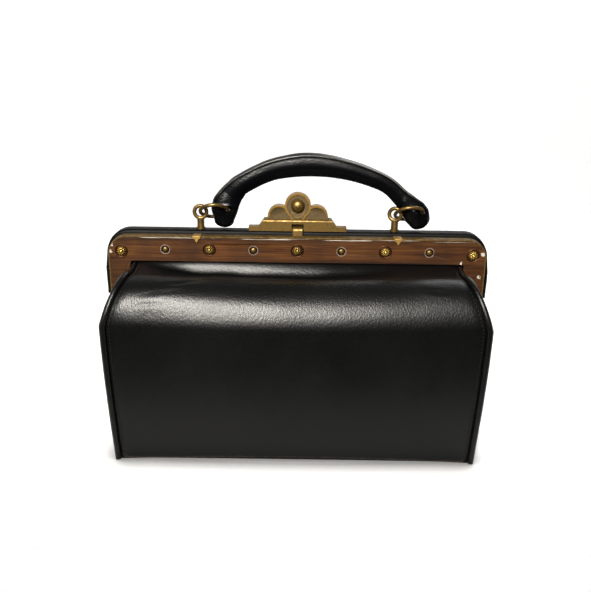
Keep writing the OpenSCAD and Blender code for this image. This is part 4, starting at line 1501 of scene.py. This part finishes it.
@dataclass
class FrontFrame:
    """The front frame: steel bar, wood-grain plate, brass edging, studs, rivets, claws and hasp."""

    stud_z: float = 170.4
    stud_pitch: float = 76.0
    corner_drop: float = 2.0
    seat_y: float = -9.1
    stud_r: float = 4.1
    stud_rise: float = 2.5
    edge_rise: float = 0.6
    petals: int = 12
    stud_rings: int = 14
    notch: float = 0.09
    petal_cut: float = 0.75
    bud: float = 0.34
    groove: float = 0.55
    groove_at: float = 0.36
    groove_w: float = 0.07
    crown_rise: float = 0.25
    foot_r: float = 3.69
    stud_seed: int = 7
    opening: tuple[float, float, float] = (149.4, 159.9, 8.0)
    patch_low: float = 140.0
    patch_low_x: float = 146.0
    patch_top_x: float = 126.0
    patch_bend: tuple[float, float] = (128.0, 156.0)
    patch_y: tuple[float, float] = (-4.6, -2.8)
    patch_edge: float = 0.3
    fillet_x: float = 144.2
    fillet_bend: tuple[float, float] = (145.0, 152.0)
    fillet_low: float = 138.0
    fillet_foot: float = 0.3
    fillet_y: tuple[float, float] = (-9.9, -7.0)
    fillet_edge: float = 0.2

    def rosette(self) -> Piece:
        """One petalled stud head, drawn at the origin with its dome towards -Y.

        Returns:
            The stud head, which is only copied from.
        """
        rings, spokes = self.stud_rings, self.petals * 8
        turn = full_turn(spokes)
        lobes = 0.5 + 0.5 * np.cos(self.petals * turn)
        verts, worn = [], []
        for share in np.arange(1, rings + 1) / rings:
            radius = self.stud_r * share * (1 - self.notch * share**3 * (1 - lobes))
            dome = math.sqrt(max(0.0, 1 - 0.96 * share**2.2))
            cut = self.petal_cut * share**1.2 * (1 - share**6) * (1 - lobes) * (share > self.bud)
            dip = self.groove * bell(share, self.groove_at, self.groove_w)
            height = self.edge_rise + self.stud_rise * dome - cut - dip
            verts += list(zip(radius * np.cos(turn), -height, radius * np.sin(turn)))
            worn += list(np.clip(0.9 * cut + 0.6 * dip, 0, 0.7) * np.ones(spokes))
        faces = skin(rings, spokes)
        crown = len(verts)
        verts.append((0.0, -(self.edge_rise + self.stud_rise + self.crown_rise), 0.0))
        worn.append(0.0)
        faces += [(crown, (s + 1) % spokes, s) for s in range(spokes)]
        rim = (rings - 1) * spokes
        foot = len(verts)
        verts += [(self.foot_r * math.cos(a), 0.0, self.foot_r * math.sin(a)) for a in turn]
        worn += [0.5] * spokes
        after = [(s + 1) % spokes for s in range(spokes)]
        faces += [(rim + s, rim + n, foot + n, foot + s) for s, n in enumerate(after)]
        faces.append(tuple(range(foot, foot + spokes)))
        obj = new_piece("stud_pattern", verts, faces, STUD_BRASS, crisp=70.0)
        paint(obj, worn)
        return obj

    def studs(self) -> None:
        """Puts a stud on each of the five places, each turned its own way."""
        pattern = self.rosette()
        places = [
            [(k * self.stud_pitch, self.seat_y, self.stud_z - (self.corner_drop if abs(k) == 2 else 0.0))]
            for k in range(-2, 3)
        ]
        values = {"Fastener": pattern, "Turn": 2 * math.pi / self.petals}
        values |= {"Seed": self.stud_seed, "Metal": STUD_BRASS.material()}
        row = grown("petalled_studs", places, fastener_tree(), values)
        bpy.data.objects.remove(pattern)
        settle(row, STUD_BRASS, Rider.FRONT, "studs")

    def corner_leather(self, side: Side) -> None:
        """Fills one upper corner of the opening beside the welt's end, with plate in front of leather.

        Args:
            side: Left or right.
        """
        wide, top, _ = self.opening
        arc = corner_arc(*self.opening)
        outline = [(wide, self.patch_low), *arc, (self.patch_top_x, top), self.patch_bend]
        outline.append((self.patch_low_x, self.patch_low))
        patch = corner_plate("corner_leather", side, outline, self.patch_y, self.patch_edge, SIDE_CALF)
        settle(patch, SIDE_CALF, Rider.FRONT)
        outline = [(self.fillet_x, top), self.fillet_bend, (wide - self.fillet_foot, self.fillet_low)]
        outline += [(wide, self.fillet_low), *arc]
        fillet = corner_plate("plate_fillet", side, outline, self.fillet_y, self.fillet_edge, WOOD)
        settle(fillet, WOOD, Rider.FRONT)

    def build(self) -> None:
        """Builds and dresses the whole front frame."""
        for side in Side:
            self.corner_leather(side)
        eased = (
            ("front_plate", 0.55, WOOD), ("edge_trim", 0.25, EDGE_BRASS), ("claws", 0.25, CLAW_BRASS_PAINTED_HIGHLIGHT),
            ("hasp", 0.3, BRASS),
        )
        for node, bevel, finish in eased:
            settle(refined(node, bevel, finish), finish, Rider.FRONT, node)
        self.studs()
        dress_node("front_frame", STEEL)
        for node in ("stud_cups", "rivet_cups"):
            dress_node(node, BRONZE)
        dress_node("rivets", RING_BRASS)


@dataclass
class RearFrame:
    """The rear frame: steel bar wrapped in leather, hinge pins and eye posts."""

    width: float = 333.8
    low: float = 126.0
    top: float = 185.2
    corner: float = 19.9
    opening: tuple[float, float, float] = (294.2, 160.0, 8.0)
    front_y: float = 0.9
    back_y: float = 15.7
    edge: float = 2.6
    unevenness: float = 0.25
    uneven_size: float = 17.0
    middle: tuple[float, float] = (0.0, 150.0)
    flare: float = 3.2
    flare_from: float = 174.0
    flare_to: float = 150.0
    mortise: tuple[float, float, float, float] = (8.25, 4.7, 6.8, 181.2)
    patch_lap: float = 1.2
    patch_x: float = 116.0
    patch_low: float = 136.0
    patch_y: tuple[float, float] = (9.4, 11.2)
    patch_foot: float = 2.6
    patch_edge: float = 0.3

    def corner_leather(self, side: Side) -> None:
        """Fills one upper corner of the opening, where the rear panel's end leaves the frame.

        Args:
            side: Left or right.
        """
        wide = self.opening[0] / 2 + self.patch_lap
        top = self.opening[1] + self.patch_lap
        arc = corner_arc(wide, top, self.opening[2])
        outline = [(wide, self.patch_low), *arc, (self.patch_x, top)]
        outline.append((self.patch_x, top - 2 * self.patch_foot))
        outline.append((wide - self.patch_foot, self.patch_low))
        patch = corner_plate("rear_corner", side, outline, self.patch_y, self.patch_edge, SIDE_CALF)
        settle(patch, SIDE_CALF, Rider.BAG)

    def build(self) -> None:
        """Builds and dresses the whole rear frame."""
        for side in Side:
            self.corner_leather(side)
        outline = arch_outline(self.width, self.low, self.top, self.corner, self.opening)
        spots = np.stack([outline[:, 0], np.zeros(len(outline)), outline[:, 1]], axis=-1)
        ripple = np.minimum(0.0, self.unevenness * (wander(spots, self.uneven_size, 6.0) - 0.6))
        low_share = np.clip((self.flare_from - outline[:, 1]) / (self.flare_from - self.flare_to), 0, 1)
        outer = np.abs(outline[:, 0]) > self.opening[0] / 2 + self.edge
        outline[:, 0] += np.sign(outline[:, 0]) * np.where(outer, self.flare * low_share, 0.0)
        outline = outline + unit_rows(outline - np.array(self.middle)) * ripple[:, None]
        cover = slab("frame_leather", outline, self.front_y, self.back_y, self.edge, FRAME_CALF, self.edge)
        half, near, far, floor = self.mortise
        corners = np.array([(half, floor), (half, self.top + 1), (-half, self.top + 1), (-half, floor)])
        sharp = 0.01
        carve(cover, slab("catch_mortise", corners, near, far, sharp, FRAME_CALF, sharp))
        settle(cover, FRAME_CALF, Rider.BAG, "rear_frame_cover")
        for node in ("rear_frame", "hinge_pins"):
            dress_node(node, STEEL)
        for node in ("left_eye_post", "right_eye_post", "left_ring", "right_ring"):
            dress_node(node, RING_BRASS)


class CasePart(Enum):
    """The lock case's materials beside the band's, by their index."""

    FIELD = 1
    RECESS = 2
    RIM = 3


@dataclass
class Lock:
    """The brass lock: scalloped case with its rim, sliding knob, catch and spring."""

    face_y: float = 3.1
    recess: float = 0.6
    band_top: float = 195.9
    case_bevel: float = 0.4
    flat_normal: float = -0.9
    level_gap: float = 0.1
    seat_y: float = 3.6
    knob_z: float = 206.8
    knob_sides: int = 48
    knob_foot: tuple[tuple[float, float], ...] = (
        (5.4, 0.0), (5.9, 0.25), (6.0, 0.8), (5.75, 1.3), (5.2, 1.6),
    )
    knob_dome: tuple[float, float, float] = (5.1, 1.75, 2.75)
    knob_button: tuple[tuple[float, float], ...] = ((1.55, 4.42), (1.35, 4.75), (0.8, 4.95))
    spring_x: float = 11.15
    spring_y: float = 6.5
    spring_span: tuple[float, float] = (185.6, 194.1)
    spring_r: float = 1.15
    spring_wire: float = 0.7
    spring_turns: int = 6
    pressed: float = 0.58

    def spring(self) -> None:
        """Winds the spring under the catch."""
        low, high = self.spring_span
        turn = np.linspace(0, 2 * math.pi * self.spring_turns, 24 * self.spring_turns + 1)
        path = np.stack([
            self.spring_x + self.spring_r * np.cos(turn), self.spring_y + self.spring_r * np.sin(turn),
            np.linspace(low, high, len(turn)),
        ], axis=-1)
        wire = round_section(len(turn), self.spring_wire / 2, 8)
        coil = tube("catch_coil", path, wire, (0.0, 0.0, 1.0), STEEL)
        settle(coil, STEEL, Rider.BAG, "catch_spring")
        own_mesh(coil)

    def knob_profile(self) -> list[tuple[float, float]]:
        """The knob's outline: a rolled foot, a hollow neck and a dome with a small button.

        Returns:
            Radius and height of its points.
        """
        radius, base, rise = self.knob_dome
        turns = np.linspace(0.05, 1.2, 9)
        dome = [(radius * math.cos(a), base + rise * math.sin(a)) for a in turns]
        return [*self.knob_foot, *dome, *self.knob_button]

    def knob(self) -> Piece:
        """The knob, turned about Y.

        Returns:
            The knob, not yet riding on a body.
        """
        sides = self.knob_sides
        turn = full_turn(sides)
        profile = self.knob_profile()
        verts = []
        for r, h in profile:
            verts += [(r * math.cos(a), self.seat_y - h, self.knob_z + r * math.sin(a)) for a in turn]
        faces = skin(len(profile), sides) + lids(len(profile), sides)
        return new_piece("turned_knob", verts, faces, BRASS, crisp=60.0)

    def build(self) -> None:
        """Builds and dresses the whole lock."""
        case = refined("lock_plate", self.case_bevel, BRASS)
        for finish in (FIELD_BRASS, RECESS_BRASS, RIM_BRASS):
            case.data.materials.append(finish.material())
        for part in case.data.polygons:
            y = part.center.y / MM
            flat = part.normal.y < self.flat_normal
            if flat and abs(y - self.face_y) < self.level_gap:
                part.material_index = CasePart.FIELD.value
            elif flat and y > self.face_y + self.recess - self.level_gap:
                part.material_index = CasePart.RECESS.value
            elif part.center.z / MM > self.band_top:
                part.material_index = CasePart.RIM.value
        settle(case, BRASS, Rider.BAG, "lock_plate")
        settle(self.knob(), BRASS, Rider.KNOB, "knob")
        dress_node("lock_back", BRASS)
        self.spring()
        dress_node("catch_slide", STEEL)


@dataclass
class Handle:
    """The rolled handle: a wrap that laps over its core in front, with looped ends on the rings."""

    left_x: float = -61.075
    span: float = 170.0
    pivot_z: float = 201.7
    rise: float = 40.0
    thick: float = 19.6
    deep: float = 19.0
    mid_y: float = 8.3
    left_tip: float = 6.4
    right_tip: float = 7.2
    cap_turns: tuple[float, ...] = (84.0, 74.0, 62.0, 50.0, 38.0, 26.0, 14.0)
    hole_sides: int = 40
    hole_wide: float = 1.75
    hole_high: float = 1.65
    hole_waist: float = 0.25
    mouth_wide: float = 1.15
    mouth_high: float = 0.5
    lap_turn: float = 42.0
    lip_turn: float = 156.0
    lap_step: float = 0.07
    lap_end: float = 158.0
    lap_blur: float = 0.022
    end_blur: float = 0.03
    lip_at: float = 165.0
    lip_rise: float = 0.05
    ridge_rise: float = 0.045
    flatness: float = 0.55
    fade_from: float = 4.0
    fade_run: float = 9.0
    bumps: float = 0.12
    end_bumps: float = 0.5
    bump_size: float = 6.5
    bump_most: float = 0.25
    swell: Waves = Waves(0.3, 19.0)
    eye_wide: float = 8.2
    eye_high: float = 4.0
    eye_lift: float = 0.6
    eye_lip: float = 0.8
    patches: Waves = Waves(0.6, 14.0)
    end_wear: float = 0.10
    knots: tuple[tuple[float, float, float, float], ...] = (
        (-0.020, -0.222, 0.87, 0.52), (-0.018, -0.048, 1.13, 0.63), (-0.012, 0.105, 1.20, 0.70),
        (0.006, 0.250, 1.12, 0.82), (0.037, 0.420, 0.97, 0.94), (0.082, 0.590, 0.88, 1.00),
        (0.230, 0.885, 0.91, 1.00), (0.410, 1.000, 1.00, 1.00), (0.606, 0.900, 0.86, 1.00),
        (0.790, 0.635, 0.74, 0.92), (0.885, 0.315, 0.78, 0.82), (0.936, 0.115, 1.00, 0.70),
        (0.966, -0.030, 1.12, 0.63), (0.985, -0.180, 0.95, 0.54),
    )

    def run(self) -> np.ndarray:
        """Middle line and sizes along the handle.

        Returns:
            Rows of x, z, half thickness and half depth.
        """
        shares = spline(np.array(self.knots), 12)
        rows = np.stack(
            [
                self.left_x + shares[:, 0] * self.span, self.pivot_z + shares[:, 1] * self.rise,
                shares[:, 2] * self.thick / 2, shares[:, 3] * self.deep / 2,
            ],
            axis=-1,
        )
        turns = np.radians(self.cap_turns)

        def cap(row: np.ndarray, beyond: np.ndarray, length: float) -> np.ndarray:
            """Rounds off one end.

            Args:
                row: The end's own row.
                beyond: The row after it.
                length: How far the tip stands out.

            Returns:
                Rows from the tip on.
            """
            way = unit_rows(row[:2] - beyond[:2])
            ahead = row[:2] + way * length * np.sin(turns)[:, None]
            return np.concatenate([ahead, row[2:] * np.cos(turns)[:, None]], axis=1)

        left = cap(rows[0], rows[1], self.left_tip)
        right = cap(rows[-1], rows[-2], self.right_tip)
        return np.concatenate([left, rows, right[::-1]])

    def wrap(self) -> Piece:
        """The rolled leather, before the ring holes are cut.

        Returns:
            The handle.
        """
        rows = self.run()
        count = len(rows)
        path = np.stack([rows[:, 0], np.full(count, self.mid_y), rows[:, 1]], axis=-1)
        spacing = ((0, 30, 6), (30, 54, 2), (54, 144, 7.5), (144, 176, 3), (178, 360, 7))
        turns = np.radians(np.concatenate([np.arange(*part) for part in spacing]))
        step, edge = np.radians(self.lap_turn), np.radians(self.lip_turn)
        lowered = 1 / (1 + np.exp(-(turns - step) / self.lap_blur))
        lowered = lowered - 1 / (1 + np.exp(-(turns - math.radians(self.lap_end)) / self.end_blur))
        ridge = bell(turns, step - 0.10, 0.07)
        middle, reach = (edge + step) / 2, (edge - step) / 2
        chord = 1 - math.cos(reach) / np.cos(np.clip(turns - middle, -reach, reach))
        lip = bell(turns, math.radians(self.lip_at), 0.09)
        fade = np.clip((rows[:, 1] - self.pivot_z - self.fade_from) / self.fade_run, 0, 1)
        raised = self.ridge_rise * ridge + self.lip_rise * lip
        shape = raised - self.lap_step * lowered - self.flatness * chord
        radial = 1 + fade[:, None] * shape[None]
        across = -rows[:, 2:3] * np.cos(turns)[None] * radial
        section = np.stack([across, -rows[:, 3:4] * np.sin(turns)[None] * radial], axis=-1)
        obj = tube("rolled_handle", path, section, (0.0, 1.0, 0.0), HANDLE_CALF)
        at = np.array([v.co for v in obj.data.vertices]) / MM
        centre = np.repeat(path, len(turns), axis=0)
        out = unit_rows(at - centre)
        ends = np.repeat(1 - fade, len(turns))
        bumps = (self.bumps + self.end_bumps * ends) * wander(at, self.bump_size, 8.0)
        bumps = bumps + self.swell.at(at, 9.0)
        moved = at + out * np.minimum(bumps, self.bump_most)[:, None]
        for x in (self.left_x, self.left_x + self.span):
            upward = at[:, 2] - self.pivot_z - self.eye_lift
            away = np.hypot((at[:, 0] - x) / self.eye_wide, upward / self.eye_high)
            lips = bell(away, 1.12, 0.2) * np.clip(-out[:, 1], 0, 1)
            moved += out * (self.eye_lip * lips)[:, None]
        obj.data.vertices.foreach_set("co", (moved * MM).ravel())
        # The lap's ridge is painted in the pale worn colour: partly rubbed wear, partly a painted highlight
        # line along it.
        worn = np.repeat(fade, len(turns)) * np.tile(ridge, count)
        patchy = self.patches.strength + self.patches.at(at, 21.0)
        paint(obj, worn * patchy + self.end_wear * ends)
        return obj

    def hole(self, x: float) -> Piece:
        """The waisted hole for one ring, as a solid along Y.

        Args:
            x: Place of the hole.

        Returns:
            The solid, which is only cut with.
        """
        sides = self.hole_sides
        turn = full_turn(sides)
        reach = self.deep / 2 + 1.0
        depths = [-reach, *np.linspace(-self.hole_waist - 2, self.hole_waist + 2, 9), reach]
        verts = []
        for depth in depths:
            over = max(0.0, abs(depth) - self.hole_waist)
            wide = self.hole_wide + self.mouth_wide * over
            high = self.hole_high + self.mouth_high * over
            y = self.mid_y + depth
            verts += [(x + wide * math.cos(a), y, self.pivot_z + high * math.sin(a)) for a in turn]
        faces = skin(len(depths), sides) + lids(len(depths), sides)
        return new_piece("ring_hole", verts, faces, HANDLE_CALF)

    def build(self) -> None:
        """Builds the handle and cuts the holes that the rings pass through."""
        obj = self.wrap()
        for x in (self.left_x, self.left_x + self.span):
            carve(obj, self.hole(x))
        smooth(obj.data, crisp=55.0)
        settle(obj, HANDLE_CALF, Rider.HANDLE, "handle")


@dataclass(frozen=True)
class Lamp:
    """A soft rectangular lamp; one that is a sheen only shows as a reflection, as a far bright pane does."""

    name: str
    place: tuple[float, float, float]
    size: tuple[float, float]
    power: float
    tint: str = "#fffaf2"
    sheen: bool = False

    def hang(self, target: Sequence[float]) -> None:
        """Hangs the lamp.

        Args:
            target: The place that it faces.
        """
        data = bpy.data.lights.new(self.name, "AREA")
        data.shape = "RECTANGLE"
        data.size, data.size_y = self.size[0] * MM, self.size[1] * MM
        data.energy = self.power
        data.color = linear(self.tint)[:3]
        obj = place_object(self.name, data)
        obj.location = Vector(self.place) * MM
        obj.visible_diffuse = not self.sheen
        obj.rotation_mode = "QUATERNION"
        obj.rotation_quaternion = (Vector(target) - Vector(self.place)).to_track_quat("-Z", "Y")


@dataclass
class Studio:
    """The plain studio: a pale floor that sweeps up behind, soft lamps and the camera."""

    target: tuple[float, float, float] = (0.0, 0.0, 100.0)
    distance: float = 620.0
    elevation: float = 20.0
    focal_px: float = 680.0
    image_px: tuple[int, int] = (591, 592)
    target_px: tuple[float, float] = (296.3, 323.8)
    roll: float = 0.8
    sensor: float = 36.0
    floor_front: float = -188.0
    floor_back: float = 1100.0
    floor_half: float = 2200.0
    sweep_r: float = 500.0
    wall_top: float = 2200.0
    sky_light: tuple[float, float, float, float] = (0.2, 0.9, 0.0, 0.14)
    wall_light: tuple[float, float, float, float] = (0.0, 0.8, 0.03, 0.55)
    lamps: tuple[Lamp, ...] = (
        Lamp("left_window", (-400.0, -1700.0, 1260.0), (230.0, 720.0), 42.0),
        Lamp("front_window", (10.0, -1700.0, 1200.0), (400.0, 800.0), 10.0),
        Lamp("left_pane", (-400.0, -1690.0, 1285.0), (230.0, 990.0), 165.0, sheen=True),
        Lamp("low_panes", (-60.0, -1690.0, 900.0), (700.0, 1000.0), 15.0, sheen=True),
        Lamp("rear_fill", (500.0, 800.0, 900.0), (700.0, 500.0), 4.0, "#ffffff"),
    )

    def camera(self) -> None:
        """Sets up the camera at the photograph's viewing angle."""
        data = bpy.data.cameras.new("front_view")
        data.sensor_fit = "HORIZONTAL"
        data.sensor_width = self.sensor
        data.lens = self.focal_px * self.sensor / self.image_px[0]
        data.shift_x = (self.image_px[0] / 2 - self.target_px[0]) / self.image_px[0]
        data.shift_y = (self.target_px[1] - self.image_px[1] / 2) / self.image_px[0]
        data.clip_start = 0.01
        tilt = math.radians(self.elevation)
        eye = Vector(self.target) + self.distance * Vector((0.0, -math.cos(tilt), math.sin(tilt)))
        obj = place_object("front_view", data)
        obj.rotation_mode = "QUATERNION"
        look = (Vector(self.target) - eye).to_track_quat("-Z", "Y")
        obj.rotation_quaternion = look @ Quaternion((0.0, 0.0, 1.0), math.radians(self.roll))
        obj.location = eye * MM
        bpy.context.scene.camera = obj

    def floor(self) -> None:
        """Lays the floor and its sweep up behind the bag."""
        bends = np.linspace(0, math.pi / 2, 12)
        line = [(self.floor_front, 0.0)]
        line += [
            (self.floor_back + self.sweep_r * math.sin(a), self.sweep_r * (1 - math.cos(a))) for a in bends
        ]
        line.append((self.floor_back + self.sweep_r, self.wall_top))
        verts = [(x, y, z) for y, z in line for x in (-self.floor_half, self.floor_half)]
        faces = [(2 * i, 2 * i + 1, 2 * i + 3, 2 * i + 2) for i in range(len(line) - 1)]
        obj = new_piece("studio_floor", verts, faces, STUDIO_FLOOR)

    def world(self) -> None:
        """Lights the room: pale above and behind the bag, dim behind the camera, white to the camera."""
        world = bpy.data.worlds.new("studio_room")
        bpy.context.scene.world = world
        world.use_nodes = True
        tree = world.node_tree
        tree.nodes.clear()
        nodes = Shading(tree, add_node(tree, "ShaderNodeOutputWorld"))
        way = add_node(tree, "ShaderNodeTexCoord").outputs["Generated"]
        axes = add_node(tree, "ShaderNodeSeparateXYZ", {"Vector": way}).outputs
        above = nodes.span(axes["Z"], *self.sky_light)
        level = nodes.math("ADD", above, nodes.span(axes["Y"], *self.wall_light))
        room = add_node(tree, "ShaderNodeBackground", {"Color": grey(1.0), "Strength": level})
        white = add_node(tree, "ShaderNodeBackground", {"Color": grey(1.0), "Strength": 1.0})
        ray = add_node(tree, "ShaderNodeLightPath").outputs["Is Camera Ray"]
        seen = add_node(tree, "ShaderNodeMixShader", {0: ray, 1: room.outputs[0], 2: white.outputs[0]})
        nodes.put({"Surface": seen.outputs[0]})

    def build(self) -> None:
        """Builds the camera, the floor, the lamps and the room."""
        self.camera()
        self.floor()
        for lamp in self.lamps:
            lamp.hang(self.target)
        self.world()
        bpy.context.scene.view_settings.view_transform = "Standard"


def main() -> None:
    """Builds the bag and its studio."""
    logging.basicConfig(level=logging.INFO, format="%(name)s: %(message)s")
    for part in (LeatherBody(), FrontFrame(), RearFrame(), Lock(), Handle()):
        LOG.info("building %s", type(part).__name__)
        part.build()
    Studio().build()


if __name__ == "__main__":
    main()
